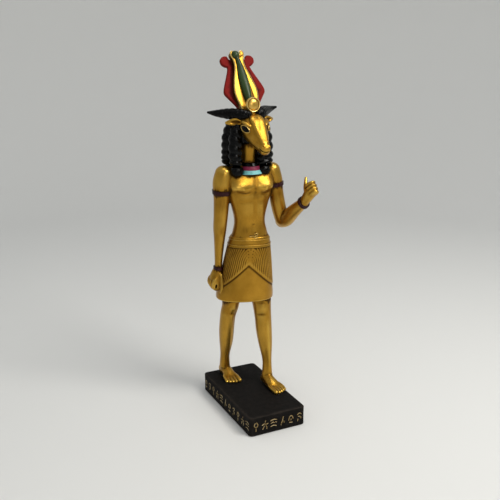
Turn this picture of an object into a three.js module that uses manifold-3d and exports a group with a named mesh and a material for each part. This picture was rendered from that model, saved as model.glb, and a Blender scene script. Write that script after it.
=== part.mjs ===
// A cast figurine of a ram-headed god of ancient Egypt, striding on a rectangular plinth.
// Millimetres, +Z up. The figure looks along -Y, and the origin is the centre of the plinth's underside.

import * as THREE from "three";
import { mergeVertices } from "three/addons/utils/BufferGeometryUtils.js";
import Module from "manifold-3d";

const wasm = await Module();
wasm.setup();

// Driving dimensions.
const PLINTH_LENGTH = 91; // front to back
const PLINTH_WIDTH = 48;
const PLINTH_HEIGHT = 15.4;
const CORNER_RADIUS = 3.2; // the plinth's four upright corners
const EDGE_ROUNDING = 1.0; // the plinth's top and bottom edges
const SIGN_HEIGHT = 8.2; // the row of signs on the plinth's sides
const SIGN_DEPTH = 0.5;
const STROKE_WIDTH = 0.9;
const FIGURE_HEIGHT = 265; // soles to the crown's tip
const STAND_SIDE = 3; // the body's axis, to the left of the plinth's centre
const STAND_BACK = 10; // and behind it

// The figure's pose, proportions and carving are laid out on a rule of this many parts, soles to crown tip.
const RULE = 265;
const MERGE = 0.28; // facets flatter than this run together

// Finishes on cast resin: gold paint on the figure, matt black on the plinth.
const GOLD = new THREE.MeshStandardMaterial({ color: 0xb8892b, roughness: 0.34, metalness: 0.9 });
const STONE_BLACK = new THREE.MeshStandardMaterial({ color: 0x1d1a18, roughness: 0.62, metalness: 0 });

const X = new THREE.Vector3(1, 0, 0);
const Y = new THREE.Vector3(0, 1, 0);
const Z = new THREE.Vector3(0, 0, 1);
const TURN = 2 * Math.PI;
const degrees = THREE.MathUtils.degToRad;

// Solids

/** A closed geometry as a solid with its faces pointing out, a mirrored one too. */
function solid(geometry) {
  const bare = geometry.clone();
  bare.deleteAttribute("normal");
  bare.deleteAttribute("uv");
  const merged = mergeVertices(bare, 1e-4);
  const triVerts = new Uint32Array(merged.index.array);
  const build = () =>
    new wasm.Manifold(
      new wasm.Mesh({ numProp: 3, vertProperties: merged.attributes.position.array, triVerts }),
    );
  const made = build();
  if (made.volume() >= 0) return made;
  for (let i = 0; i < triVerts.length; i += 3) {
    [triVerts[i + 1], triVerts[i + 2]] = [triVerts[i + 2], triVerts[i + 1]];
  }
  return build();
}

const joined = (solids) => solids.reduce((whole, next) => whole.add(next));

/** A solid without the small bubbles shut up between its joined parts. */
const unbubbled = (made) => joined(made.decompose().filter((shell) => shell.volume() > 0));

function geometryOf(made) {
  const mesh = made.getMesh();
  const geometry = new THREE.BufferGeometry();
  geometry.setAttribute("position", new THREE.BufferAttribute(mesh.vertProperties, 3));
  geometry.setIndex(new THREE.BufferAttribute(mesh.triVerts, 1));
  geometry.computeVertexNormals();
  return geometry;
}

// Lofts

/** The rows of a table followed as one smooth curve: each column at place t, from 0 to the last row. */
function follow(rows, t) {
  const last = rows.length - 1;
  const i = Math.min(Math.floor(t), last - 1);
  const f = t - i;
  const row = (k) => rows[Math.max(0, Math.min(last, k))];
  return rows[i].map((_, c) => {
    const [a, b, d, e] = [row(i - 1)[c], row(i)[c], row(i + 1)[c], row(i + 2)[c]];
    return b + 0.5 * f * (d - a + f * (2 * a - 5 * b + 4 * d - e + f * (3 * (b - d) + e - a)));
  });
}

/** A closed skin over rings of equal count, with a point or a flat fan at each end. */
function skin(rings, first, last) {
  const sides = rings[0].length;
  const points = [...rings.flat(), first, last];
  const index = [];
  const at = (r, s) => r * sides + (s % sides);
  for (let r = 0; r < rings.length - 1; r++) {
    for (let s = 0; s < sides; s++) {
      index.push(at(r, s), at(r, s + 1), at(r + 1, s), at(r + 1, s), at(r, s + 1), at(r + 1, s + 1));
    }
  }
  const top = rings.length - 1;
  for (let s = 0; s < sides; s++) {
    index.push(at(0, s + 1), at(0, s), points.length - 2);
    index.push(at(top, s), at(top, s + 1), points.length - 1);
  }
  const geometry = new THREE.BufferGeometry().setFromPoints(points);
  geometry.setIndex(index);
  return solid(geometry);
}

/**
 * A rounded form through stations [x, y, z, half width, half depth, turn in degrees].
 * The width lies along `across`. `facing` keeps the sections square to one direction, `power` squares them,
 * `domes` are the heights of the rounded ends, and `swell(angle, t)` scales a point of the skin.
 */
function form(stations, options = {}) {
  const { sides = 12, steps = 3, across = X, facing, power = 2, domes = [0, 0] } = options;
  const swell = options.swell ?? (() => 1);
  const last = stations.length - 1;
  const count = last * steps;
  const rows = Array.from({ length: count + 1 }, (_, k) => follow(stations, (k / count) * last));
  const place = (row) => new THREE.Vector3(row[0], row[1], row[2]);
  const ring = (row, centre, tangent, size, t) => {
    const side = across.clone().addScaledVector(tangent, -across.dot(tangent)).normalize();
    const front = tangent.clone().cross(side);
    const turn = degrees(row[5] ?? 0);
    return Array.from({ length: sides }, (_, s) => {
      const angle = (s / sides) * TURN;
      const [c, v] = [Math.cos(angle), Math.sin(angle)];
      const scale = size * swell(angle, t);
      const w = row[3] * Math.sign(c) * Math.abs(c) ** (2 / power) * scale;
      const d = row[4] * Math.sign(v) * Math.abs(v) ** (2 / power) * scale;
      return centre
        .clone()
        .addScaledVector(side, w * Math.cos(turn) - d * Math.sin(turn))
        .addScaledVector(front, w * Math.sin(turn) + d * Math.cos(turn));
    });
  };
  const tangentAt = (k) =>
    facing ?? place(rows[Math.min(k + 1, count)]).sub(place(rows[Math.max(k - 1, 0)])).normalize();
  const dome = (k, height, outward) => {
    if (!height) return [];
    const tangent = tangentAt(k);
    const lift = sides > 8 ? [35, 65] : [48];
    return lift.map(degrees).map((a) =>
      ring(
        rows[k],
        place(rows[k]).addScaledVector(tangent, outward * height * Math.sin(a)),
        tangent,
        Math.cos(a),
        (k / count) * last,
      ),
    );
  };
  const rings = rows.map((row, k) => ring(row, place(row), tangentAt(k), 1, (k / count) * last));
  const foot = place(rows[0]).addScaledVector(tangentAt(0), -domes[0]);
  const head = place(rows[count]).addScaledVector(tangentAt(count), domes[1]);
  return skin([...dome(0, domes[0], -1).reverse(), ...rings, ...dome(count, domes[1], 1)], foot, head);
}

/** An egg shape: centre, three half sizes, and turns about X, Y and Z in degrees. */
function egg(centre, half, turns = [0, 0, 0], sides = 12) {
  const geometry = new THREE.SphereGeometry(1, sides, Math.round(sides / 2));
  geometry.scale(...half);
  turns.forEach((turn, i) => {
    geometry.applyMatrix4(new THREE.Matrix4().makeRotationAxis([X, Y, Z][i], degrees(turn)));
  });
  geometry.translate(...centre);
  return solid(geometry);
}

/** A box by its centre and sizes, turned about Z. */
function block(centre, size, turn = 0) {
  const geometry = new THREE.BoxGeometry(...size);
  geometry.rotateZ(degrees(turn));
  geometry.translate(...centre);
  return solid(geometry);
}

const mirrored = (stations) => stations.map(([x, ...rest]) => [-x, ...rest]);

// Body

const PELVIS_TURN = -17; // the stride turns the hips, degrees about the body's axis
const CHEST_TURN = -6;

const TRUNK = [
  [0.0, 2.0, 113, 15.8, 10.4, PELVIS_TURN],
  [0.3, 1.7, 121, 16.2, 10.4, PELVIS_TURN],
  [0.5, 1.3, 129.5, 13.6, 9.2, -14],
  [0.1, 1.0, 138, 12.1, 8.6, -10],
  [0, 0.9, 147, 13.6, 9.2, -8],
  [0, 0.8, 157.5, 16.7, 9.6, CHEST_TURN],
  [0, 1.1, 161.5, 17.8, 9.8, CHEST_TURN],
  [0, 1.3, 166.5, 19.0, 9.8, CHEST_TURN],
  [0, 1.9, 173, 20.4, 8.8, CHEST_TURN],
  [0, 2.4, 179, 17.5, 6.6, CHEST_TURN],
  [0, 2.8, 183, 9.0, 5.6, CHEST_TURN],
];
const BREAST_ROW = 6.4; // the trunk's station at the fullest of the breast
const BREAST_RISE = 0.16; // as a share of the trunk's depth there
const BREAST_ANGLE = 34; // degrees to each side of the breastbone
const BREAST_SPREAD = 24;

function torso() {
  const breast = (angle, t) => {
    const turned = THREE.MathUtils.radToDeg(angle) - 270;
    const off = (side) => ((turned - side * BREAST_ANGLE) / BREAST_SPREAD) ** 2;
    const rise = Math.exp(-off(-1)) + Math.exp(-off(1));
    const below = t < BREAST_ROW ? 0.8 : 1.5;
    return 1 + BREAST_RISE * rise * Math.exp(-(((t - BREAST_ROW) / below) ** 2));
  };
  const trunk = form(TRUNK, { sides: 16, steps: 1, facing: Z, power: 2.2, swell: breast });
  const neck = form(
    [
      [0, 2.6, 176, 6.6, 6.4],
      [0, 2.0, 188, 5.8, 5.8],
      [0, 1.0, 204, 6.6, 6.8],
    ],
    { sides: 10, steps: 1 },
  );
  return trunk.add(neck);
}

const KILT = [
  [-1.2, 7.8, 74.6, 23.0, 16.4, PELVIS_TURN],
  [-1.1, 7.4, 79, 22.8, 16.6, PELVIS_TURN],
  [-0.7, 5.6, 90, 20.8, 15.3, PELVIS_TURN],
  [-0.4, 3.8, 103, 19.0, 13.6, PELVIS_TURN],
  [0.1, 1.9, 119, 16.5, 10.8, PELVIS_TURN],
];
const WRAP_THICKNESS = 0.7; // the pleated cloth over the plain one
const APRON_PEAK = 102.5; // where the pleated cloth parts at the front
const APRON_SLOPE = 36; // degrees
const SEAM_BACK = 9; // the parting ends this far behind the kilt's middle
const PLEAT_SPACING = 3.8;
const PLEAT_DEPTH = 0.8;
const PLEATS_A_SIDE = 4;
const PLEAT_TOP = 118; // the pleats begin at the belt
const PLEAT_CENTRE = 107; // they bow outward round this height at the middle
const PLEAT_BOW = 0.5; // how round the bow is, 0 for upright pleats
const PLEAT_POINTS = 4; // places along each pleat
const KILT_SECTION = { sides: 24, steps: 1, facing: Z, power: 2.25 };

/** The kilt: plain cloth, and a pleated cloth wrapped over it that parts in a peak at the front. */
function kilt() {
  const cloth = (extra) =>
    form(
      KILT.map(([x, y, z, w, d, turn]) => [x, y, z, w + extra, d + extra, turn]),
      { ...KILT_SECTION, domes: [1.2, 0] },
    );
  const slope = Math.tan(degrees(APRON_SLOPE));
  const reach = 40; // well past the kilt's sides
  const tent = new THREE.Shape([
    new THREE.Vector2(0, APRON_PEAK),
    new THREE.Vector2(-reach, APRON_PEAK - reach * slope),
    new THREE.Vector2(-reach, 0),
    new THREE.Vector2(reach, 0),
    new THREE.Vector2(reach, APRON_PEAK - reach * slope),
  ]);
  const opening = new THREE.ExtrudeGeometry(tent, { depth: reach, bevelEnabled: false });
  opening.rotateX(Math.PI / 2); // the peak stands upright, and the prism runs forward
  opening.rotateZ(degrees(PELVIS_TURN));
  opening.translate(KILT[2][0], KILT[2][1] + SEAM_BACK, 0);
  const wrap = cloth(WRAP_THICKNESS).subtract(solid(opening));
  const pleats = [];
  for (let i = 1; i <= PLEATS_A_SIDE; i++) {
    const radius = i * PLEAT_SPACING;
    pleats.push(pleat(radius, 1, slope), pleat(radius, -1, slope));
  }
  return pleats.reduce((whole, cut) => whole.subtract(cut), cloth(0).add(wrap));
}

/** The place on the pleated cloth's outside, `across` from the kilt's middle, at height z. */
function clothPlace(across, z) {
  const top = KILT.findIndex((row, k) => k && z <= row[2]);
  const [low, high] = [KILT[top - 1], KILT[top]];
  const part = (z - low[2]) / (high[2] - low[2]);
  const at = (column) => low[column] + part * (high[column] - low[column]);
  const [w, d] = [at(3) + WRAP_THICKNESS, at(4) + WRAP_THICKNESS];
  const { power } = KILT_SECTION;
  const v = d * (1 - Math.min(0.98, Math.abs(across / w)) ** power) ** (1 / power);
  return new THREE.Vector3(across, -v, z)
    .applyAxisAngle(Z, degrees(PELVIS_TURN))
    .add(new THREE.Vector3(at(0), at(1), 0));
}

/** One pleat's V-shaped cut, bowed outward round the pleats' centre, from the belt to the cloth's edge. */
function pleat(radius, side, slope) {
  const bow = radius / PLEAT_BOW;
  const across = (z) => Math.sqrt(Math.max(0, radius ** 2 - (PLEAT_BOW * (z - PLEAT_CENTRE)) ** 2));
  const top = Math.min(PLEAT_TOP, PLEAT_CENTRE + bow * 0.9);
  let foot = APRON_PEAK - slope * radius;
  for (let i = 0; i < 4; i++) foot = APRON_PEAK - slope * across(Math.max(foot, PLEAT_CENTRE - bow * 0.9));
  foot = Math.max(foot, PLEAT_CENTRE - bow * 0.9);
  const stations = Array.from({ length: PLEAT_POINTS }, (_, k) => {
    const z = top + (k / (PLEAT_POINTS - 1)) * (foot - top);
    return [...clothPlace(side * across(z), z).toArray(), PLEAT_DEPTH * 0.75, PLEAT_DEPTH];
  });
  return form(stations, { sides: 4, steps: 1 });
}

const BELT = [
  [0.15, 1.9, 118.2, 17.2, 11.5, PELVIS_TURN],
  [0.4, 1.6, 125.2, 15.6, 10.2, PELVIS_TURN],
];
const BELT_LINE = 1.5; // the raised line along each edge
const BELT_RISE = 0.6;

/** A flat belt with a raised line along each edge, and the knot above it at the front. */
function belt() {
  const height = BELT[1][2] - BELT[0][2];
  const hoop = (from, to, rise) => {
    const row = (t) => follow(BELT, t).map((value, i) => (i === 3 || i === 4 ? value + rise : value));
    return form([row(from), row(to)], KILT_SECTION);
  };
  const line = BELT_LINE / height;
  const knot = block([0.6, -8.3, BELT[1][2] + 1.8], [5, 1.8, 2.8], PELVIS_TURN);
  return joined([hoop(0, 1, 0), hoop(0, line, BELT_RISE), hoop(1 - line, 1, BELT_RISE), knot]);
}

// Arms

const RIGHT_ARM = [
  [-19.4, 4.6, 175.4, 6.4, 6.8],
  [-20.4, 5.0, 168, 6.8, 7.0],
  [-21.0, 5.8, 156, 6.0, 6.2],
  [-21.6, 6.8, 143, 5.5, 5.8],
  [-22.0, 7.8, 133, 5.0, 5.3],
  [-22.2, 8.6, 124, 4.3, 4.8],
  [-22.6, 9.6, 110, 3.2, 3.8],
  [-22.8, 10.2, 98, 2.8, 3.3],
];
const LEFT_ARM = [
  [18.8, 0.4, 174, 6.2, 6.4],
  [20.4, -0.4, 167, 6.3, 6.6],
  [22.2, -1.0, 160, 5.6, 6.0],
  [23.4, -1.4, 152, 5.7, 6.1],
  [25.0, -1.8, 143, 5.6, 6.0],
  [26.6, -2.0, 136.6, 5.2, 5.8],
];
const LEFT_FOREARM = [
  [27.8, 1.4, 135.4, 4.8, 5.4],
  [28.6, -6, 138.8, 5.6, 5.8],
  [29.6, -17, 146.6, 4.8, 5.0],
  [31.2, -30.6, 155.8, 3.4, 3.8],
];

/** A painted band round a limb, between two of its stations, standing a little proud. */
function band(stations, from, to, proud) {
  const [a, b] = [follow(stations, from), follow(stations, to)];
  const wide = ([x, y, z, w, d]) => [x, y, z, w + proud, d + proud];
  return form([wide(a), wide(b)], { sides: 10, steps: 1 });
}

/**
 * A closed fist round a tunnel. `knuckles` is the way from wrist to knuckles, `thumb` the way along the
 * tunnel to the thumb's side, and `thumbPath` the thumb from root to tip in the fist's own directions.
 */
function fist(centre, knuckles, thumb, size, wrist, thumbPath) {
  const n = knuckles.clone().normalize();
  const t = thumb.clone().addScaledVector(n, -thumb.dot(n)).normalize();
  const b = new THREE.Vector3().crossVectors(t, n);
  const basis = new THREE.Matrix4().makeBasis(b, n, t).setPosition(centre);
  const place = (x, y, z) => new THREE.Vector3(x, y, z).applyMatrix4(basis);
  const [w, d] = size.half;
  const finger = size.finger;
  const rows = [1, 1.04, 0.98, 0.88].flatMap((share, i) =>
    [-0.5, 0, 0.5].map((rise) => {
      const full = share * (rise ? 0.84 : 1);
      return [...place(0, 0, (1.5 - i - rise) * finger).toArray(), w * full, d * full];
    }),
  );
  const valleys = rows.filter((_, i) => i % 3 !== 0 || i === 0);
  const fingers = form(valleys, { sides: 8, steps: 1, across: b, power: 2.6 });
  const palm = form(
    [
      [...wrist.toArray(), 3.4, 3.6],
      [...wrist.clone().lerp(place(0, d * 0.35, 0), 0.55).toArray(), w, finger * 1.8],
      [...place(0, d * 0.35, 0).toArray(), w * 0.8, finger * 1.8],
    ],
    { sides: 8, steps: 1, across: b },
  );
  const thumbForm = form(
    thumbPath.map(([x, y, z, r, q]) => [...place(x, y, z).toArray(), r, q]),
    { sides: 6, steps: 1, across: b, domes: [0, 1.2] },
  );
  const tunnel = new THREE.CylinderGeometry(size.bore, size.bore, 2.4 * finger, 6);
  tunnel.rotateX(Math.PI / 2);
  tunnel.translate(...size.tunnel, 2.6 * finger);
  tunnel.applyMatrix4(basis);
  return joined([fingers, palm, thumbForm]).subtract(solid(tunnel));
}

function arms() {
  const rightWrist = new THREE.Vector3(-22.8, 10.2, 100);
  const rightFist = fist(
    new THREE.Vector3(-25.0, 12.2, 88.0),
    new THREE.Vector3(-0.1, 0.1, -1),
    new THREE.Vector3(0.05, -1, 0),
    { half: [5.2, 6.2], finger: 3.0, bore: 1.6, tunnel: [-1.6, 1.6] },
    rightWrist,
    [
      [2.0, -8, 3.6, 1.9, 2.3],
      [3.4, -2, 5.8, 1.8, 2.0],
      [4.0, 3, 6.8, 1.6, 1.8],
      [4.0, 6, 6.6, 1.2, 1.4],
    ],
  );
  const leftWrist = new THREE.Vector3(31.1, -29.8, 155.3);
  const leftFist = fist(
    new THREE.Vector3(33.4, -37.0, 166.0),
    new THREE.Vector3(0.1, -1, 0.8),
    new THREE.Vector3(-0.06, 0.4, 1),
    { half: [4.1, 5.1], finger: 2.6, bore: 1.4, tunnel: [0, 0.6] },
    leftWrist,
    [
      [-1.6, -6.0, -1.4, 1.8, 2.0],
      [-1.6, -4.4, 4, 1.7, 1.8],
      [0.8, -2.6, 11, 1.1, 1.2],
    ],
  );
  return joined([
    form(RIGHT_ARM, { sides: 10, steps: 1, domes: [6, 0] }),
    form(LEFT_ARM, { sides: 10, steps: 1, domes: [5.6, 4.2] }),
    form(LEFT_FOREARM, { sides: 10, steps: 1, domes: [4.2, 0] }),
    rightFist,
    leftFist,
    band(RIGHT_ARM, 1.42, 1.76, 0.7),
    band(LEFT_ARM, 1.2, 1.62, 0.7),
    band(RIGHT_ARM, 6.74, 6.9, 0.8),
    band(LEFT_FOREARM, 2.77, 2.92, 0.8),
  ]);
}

// Legs

const RIGHT_LEG = [
  [-11.6, 9, 84, 9.0, 9.2],
  [-11.8, 11.4, 68, 6.8, 7.6],
  [-13.4, 13.2, 58, 6.2, 6.9],
  [-13.5, 15.6, 46, 6.1, 6.9],
  [-13.0, 18.2, 34, 5.6, 6.2],
  [-12.6, 21.6, 20, 4.0, 4.6],
  [-12.0, 24.2, 8, 4.2, 5.4],
];
const LEFT_LEG = [
  [10.8, 3.4, 84, 9.0, 9.2],
  [11.0, 0.6, 68, 7.5, 7.8],
  [11.2, -1.2, 58, 6.8, 6.9],
  [11.7, -2.2, 46, 6.4, 6.9],
  [12.4, -3.6, 34, 5.4, 6.1],
  [13.0, -5.4, 20, 3.6, 4.4],
  [12.8, -6.2, 8, 4.1, 5.2],
];

// The toes from the great one out: across the foot, radius, and reach forward from the ankle.
const TOES = [
  [4.9, 1.9, 21.8],
  [1.8, 1.4, 21.6],
  [-0.9, 1.35, 20.8],
  [-3.4, 1.3, 19.6],
  [-5.7, 1.2, 18.2],
];
const TOE_ROOT = -12; // where the toes' row begins, forward of the ankle

/**
 * A bare foot on a flat sole, laid out from the ankle with the toes forward, then turned and set in place.
 * `inner` is +1 where the great toe is on the figure's left.
 */
function foot(ankle, outward, inner) {
  const arch = form(
    [
      [0, 5.8, 3.2, 3.6, 3.6],
      [0, 1.0, 4.6, 4.5, 5.8],
      [inner * 0.2, -6, 3.4, 4.8, 4.8],
      [inner * 0.2, -12, 1.8, 6.1, 3.4],
      [inner * 0.2, -16.5, 1.2, 6.0, 2.4],
    ],
    { sides: 8, steps: 1, domes: [1.6, 1] },
  );
  const toes = form(
    TOES.flatMap(([across, radius, reach], i) => {
      const row = (x, r, front) => [inner * x, (TOE_ROOT - front) / 2, r - 0.3, (front + TOE_ROOT) / 2, r];
      const rows = [-0.5, 0.5].map((side) => row(across - side * radius, radius * 0.96, reach));
      const next = TOES[i + 1];
      if (next) rows.push(row((across - radius + next[0] + next[1]) / 2, next[1] * 0.5, next[2] - 2.2));
      return rows;
    }),
    { sides: 7, steps: 1, across: Y, facing: new THREE.Vector3(-inner, 0, 0), power: 2.4, domes: [0.8, 0.6] },
  );
  const above = block([0, -8, 15], [40, 60, 30]);
  return arch.add(toes).intersect(above).rotate([0, 0, outward]).translate(ankle);
}

function legs() {
  const limb = { sides: 10, steps: 1 };
  const above = block([0, 0, 60], [90, 90, 120]);
  return joined([
    form(RIGHT_LEG, limb),
    form(LEFT_LEG, limb),
    foot([-11.4, 25.2, 0], 0, 1),
    foot([12.4, -7.8, 0], 6, -1),
  ]).intersect(above);
}

// Head

const HEAD_LEAN = -2.4; // the head, horns and crown lean to the figure's right, degrees about the brow
const BROW = [0, 0, 215];
const SKULL = [
  [0, 5, 214, 10.6, 12.0],
  [0, -3, 211.2, 10.6, 11.2],
  [0, -6.4, 209.2, 9.8, 10.4],
  [0, -9.6, 207, 8.4, 9.3],
  [0, -15.8, 202, 5.8, 7.0],
  [0, -20.8, 197.8, 4.5, 5.4],
  [0, -24.2, 195, 4.2, 4.3],
];

function head() {
  const face = form(SKULL, { sides: 12, steps: 1, power: 2.2, domes: [0, 2.4] });
  const brow = (side) => egg([side * 8.2, -5.6, 212.6], [3.0, 4.2, 2.4], [30, 0, side * 14], 8);
  const eye = (side) => egg([side * 8.2, -7.4, 209.6], [1.9, 2.8, 1.9], [30, 0, side * 14], 8);
  const ear = (side) =>
    form(
      [
        [side * 7, -2.2, 214.4, 1.3, 1.6],
        [side * 11, -1.8, 214.4, 1.8, 2.9],
        [side * 15, -0.4, 213.8, 1.5, 2.7],
        [side * 18.6, 1.6, 212.8, 0.7, 1.0],
      ],
      { sides: 8, steps: 1, across: Y, domes: [0, 0.8] },
    );
  return joined([face, ...[-1, 1].flatMap((side) => [brow(side), eye(side), ear(side)])]);
}

const HORN = [
  [1.6, 0.6, 219.4, 3.6, 3.8],
  [7, 3, 220.2, 4.4, 4.6],
  [15.4, 8, 220.6, 3.7, 3.9],
  [22.4, 10.6, 221.0, 2.5, 2.6],
  [28.6, 12, 222.0, 0.9, 0.9],
];
const HORN_RIBS = 6;
const HORN_RIB_DEPTH = 0.05;

function horns() {
  const last = HORN.length - 1;
  const ribbed = (_, t) => 1 + HORN_RIB_DEPTH * Math.cos((t / last) * HORN_RIBS * TURN) * (1 - t / last);
  const horn = (rows) => form(rows, { sides: 7, steps: 3, across: Y, domes: [0, 0.8], swell: ribbed });
  return horn(HORN).add(horn(mirrored(HORN)));
}

// Wig

const RIB_PITCH = 4.7; // the rolls of each lock of hair
const RIB_DEPTH = 0.14; // the dip between two rolls, as a share of the lock's radius
const LAPPET = [
  [10.4, -0.4, 212, 4.2, 4.2],
  [12.6, -1.2, 203, 5.2, 5.2],
  [13.0, -2.0, 190, 5.4, 5.2],
  [12.4, -3.2, 176.5, 5.0, 4.8],
];
const SIDE_LOCK = [
  [12.4, 6.4, 212, 4.2, 4.2],
  [14.6, 7.4, 203, 4.8, 4.8],
  [15.0, 7.8, 192, 4.8, 4.8],
  [15.0, 8.2, 184.5, 4.6, 4.6],
];
const BACK_LOCKS = 3;
const BACK_SPREAD = 84; // degrees between the outermost two

/** A lock of hair as a stack of rolls, with a rounded end. */
function lock(stations) {
  const last = stations.length - 1;
  const rolls = Math.round((stations[0][2] - stations[last][2]) / RIB_PITCH);
  const rolled = (_, t) => 1 - RIB_DEPTH * Math.cos(Math.PI * (t / last) * rolls) ** 2;
  const steps = Math.round((2 * rolls) / last);
  return form(stations, { sides: 6, steps, domes: [0, 3.4], swell: rolled });
}

function wig() {
  const cap = egg([0, 5.4, 207.6], [13.8, 13.2, 12.6], [0, 0, 0], 12);
  const fill = form(
    [
      [0, 8.8, 182, 12.4, 6.4],
      [0, 8.6, 196, 13.0, 7.6],
      [0, 8.2, 210, 12.6, 8.6],
    ],
    { sides: 12, steps: 1 },
  );
  const locks = [LAPPET, mirrored(LAPPET), SIDE_LOCK, mirrored(SIDE_LOCK)];
  for (let i = 0; i < BACK_LOCKS; i++) {
    const a = degrees(BACK_SPREAD * (i / (BACK_LOCKS - 1) - 0.5));
    const [x, y] = [13.6 * Math.sin(a), 5.4 + 11.2 * Math.cos(a)];
    locks.push([
      [x * 0.85, y - 2.2, 211, 5.2, 4.4],
      [x, y, 201, 6.0, 5.0],
      [x, y, 189, 6.0, 5.0],
      [x, y - 0.6, 177.5, 5.6, 4.6],
    ]);
  }
  return joined([cap, fill, ...locks.map(lock)]);
}

function collar() {
  const ring = (z0, z1, w0, d0, w1, d1) =>
    form(
      [
        [0, 2.2, z0, w0, d0],
        [0, 2.4, z1, w1, d1],
      ],
      { sides: 16, steps: 1, facing: Z },
    );
  return joined([ring(173.4, 178.6, 15.8, 12.2, 11.2, 9.6), ring(177.4, 183.2, 12.0, 10.2, 7.6, 7.4)]);
}

// Crown

const CROWN_TILT = 27; // degrees back from upright
const CROWN_FOOT = [0, 2.6, 220.4];
const PLUME_THICKNESS = 3.2;

/** A smooth closed outline through points given for one side, mirrored to the other, as a plate. */
function plate(outline, thickness, forward, curveSegments) {
  const shape = new THREE.Shape();
  shape.moveTo(...outline[0]);
  shape.splineThru(outline.slice(1).map((p) => new THREE.Vector2(...p)));
  const geometry = new THREE.ExtrudeGeometry(shape, { depth: thickness, bevelEnabled: false, curveSegments });
  geometry.rotateX(Math.PI / 2);
  geometry.translate(0, thickness / 2 - forward, 0);
  return geometry;
}

// The red plumes' outer edge, from the foot up: across, then up the crown.
const PLUME_EDGE = [
  [6.4, -1],
  [10.4, 6],
  [14.8, 12],
  [16.4, 15.4],
  [15, 20],
  [11.6, 27],
  [8.8, 34],
  [9.4, 37.4],
  [12.4, 38.4],
  [13.2, 41.4],
  [11.4, 44.2],
  [7.6, 44],
  [4.4, 40],
];
// The gold feathers' outer edge.
const FEATHER_EDGE = [
  [5.6, -1],
  [8.8, 8],
  [9.4, 15],
  [7.6, 23.4],
  [5.2, 32],
  [4.2, 39],
  [4.8, 44],
  [4.2, 47],
  [2.8, 46.6],
];
const FEATHER_LEAN = 4; // degrees from the plumes

function crown() {
  const whole = (edge) => {
    const left = edge.map(([u, v]) => [-u, v]).reverse();
    return [...edge, ...left, edge[0]];
  };
  const plumes = solid(plate(whole(PLUME_EDGE), PLUME_THICKNESS, 0, 2));
  const feathers = plate(whole(FEATHER_EDGE), 3.6, 4.6, 1);
  feathers.rotateX(-degrees(FEATHER_LEAN));
  const pin = form(
    [
      [0, -6.6, 1, 2.0, 1.8],
      [0, -7.4, 9, 4.2, 3.4],
      [0, -6.8, 15, 4.9, 3.6],
      [0, -6.0, 22.4, 4.4, 3.2],
      [0, -4.4, 31, 2.9, 2.6],
      [0, -3.0, 38.6, 1.8, 1.8],
      [0, -2.2, 43, 1.9, 1.9],
    ],
    { sides: 10, steps: 1 },
  );
  const knob = egg([0, -2, 45.8], [2.7, 2.6, 2.9], [0, 0, 0], 8);
  const tilt = new THREE.Matrix4().makeRotationX(-degrees(CROWN_TILT)).setPosition(...CROWN_FOOT);
  return joined([plumes, solid(feathers), pin, knob]).transform(tilt.elements);
}

const DISC_CENTRE = [0, -6.4, 226.8];
const DISC_RADIUS = 5.6;
const DISC_THICKNESS = 2.6;
const DISC_RIM = 1.0;

/** The sun disc: a domed boss inside a raised rim, on a short stem from the forehead. */
function sunDisc() {
  const half = DISC_THICKNESS / 2;
  const profile = [
    [0, -half],
    [DISC_RADIUS - 0.4, -half],
    [DISC_RADIUS, 0],
    [DISC_RADIUS - 0.3, half],
    [DISC_RADIUS - DISC_RIM, half],
    [DISC_RADIUS - DISC_RIM - 0.3, half - 0.8],
    [2.6, half + 0.4],
    [0, half + 1],
  ].map(([r, h]) => new THREE.Vector2(r, h));
  const disc = new THREE.LatheGeometry(profile, 14);
  disc.rotateX(Math.PI - degrees(4));
  disc.translate(...DISC_CENTRE);
  const stem = form(
    [
      [0, -4.4, 217, 3.4, 3.2],
      [0, -5.2, 222, 2.6, 2.2],
      [0, -5.4, 226, 2.4, 1.2],
    ],
    { sides: 6, steps: 1 },
  );
  return solid(disc).add(stem);
}

// The whole object

/** The parts that lean with the head, turned about the brow. */
function crownedHead() {
  const there = new THREE.Matrix4().makeTranslation(...BROW);
  const lean = new THREE.Matrix4().makeRotationY(degrees(HEAD_LEAN));
  const back = new THREE.Matrix4().makeTranslation(...BROW.map((c) => -c));
  return joined([head(), horns(), crown(), sunDisc()]).transform(there.multiply(lean).multiply(back).elements);
}

function figure() {
  const whole = joined([torso(), kilt(), belt(), arms(), legs(), wig(), collar(), crownedHead()]);
  const mesh = new THREE.Mesh(geometryOf(unbubbled(whole.simplify(MERGE))), GOLD);
  mesh.name = "figure";
  mesh.scale.setScalar(FIGURE_HEIGHT / RULE);
  mesh.position.set(STAND_SIDE, STAND_BACK, PLINTH_HEIGHT);
  return mesh;
}

// The plinth

const SIGNS_FRONT = 6;
const SIGNS_SIDE = 11;
const SIGN_MARGIN = 5.4; // from the plinth's corner to the first sign's middle
// The strokes of four signs, repeated along a row: across, up and length as shares of the height, and lean.
const SIGNS = [
  [[0, 0, 0.9, 0]],
  [
    [0, 0.22, 0.5, 90],
    [0, -0.22, 0.5, 90],
  ],
  [[0, 0, 0.9, 24]],
  [[0, 0.1, 0.6, 0]],
];

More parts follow.
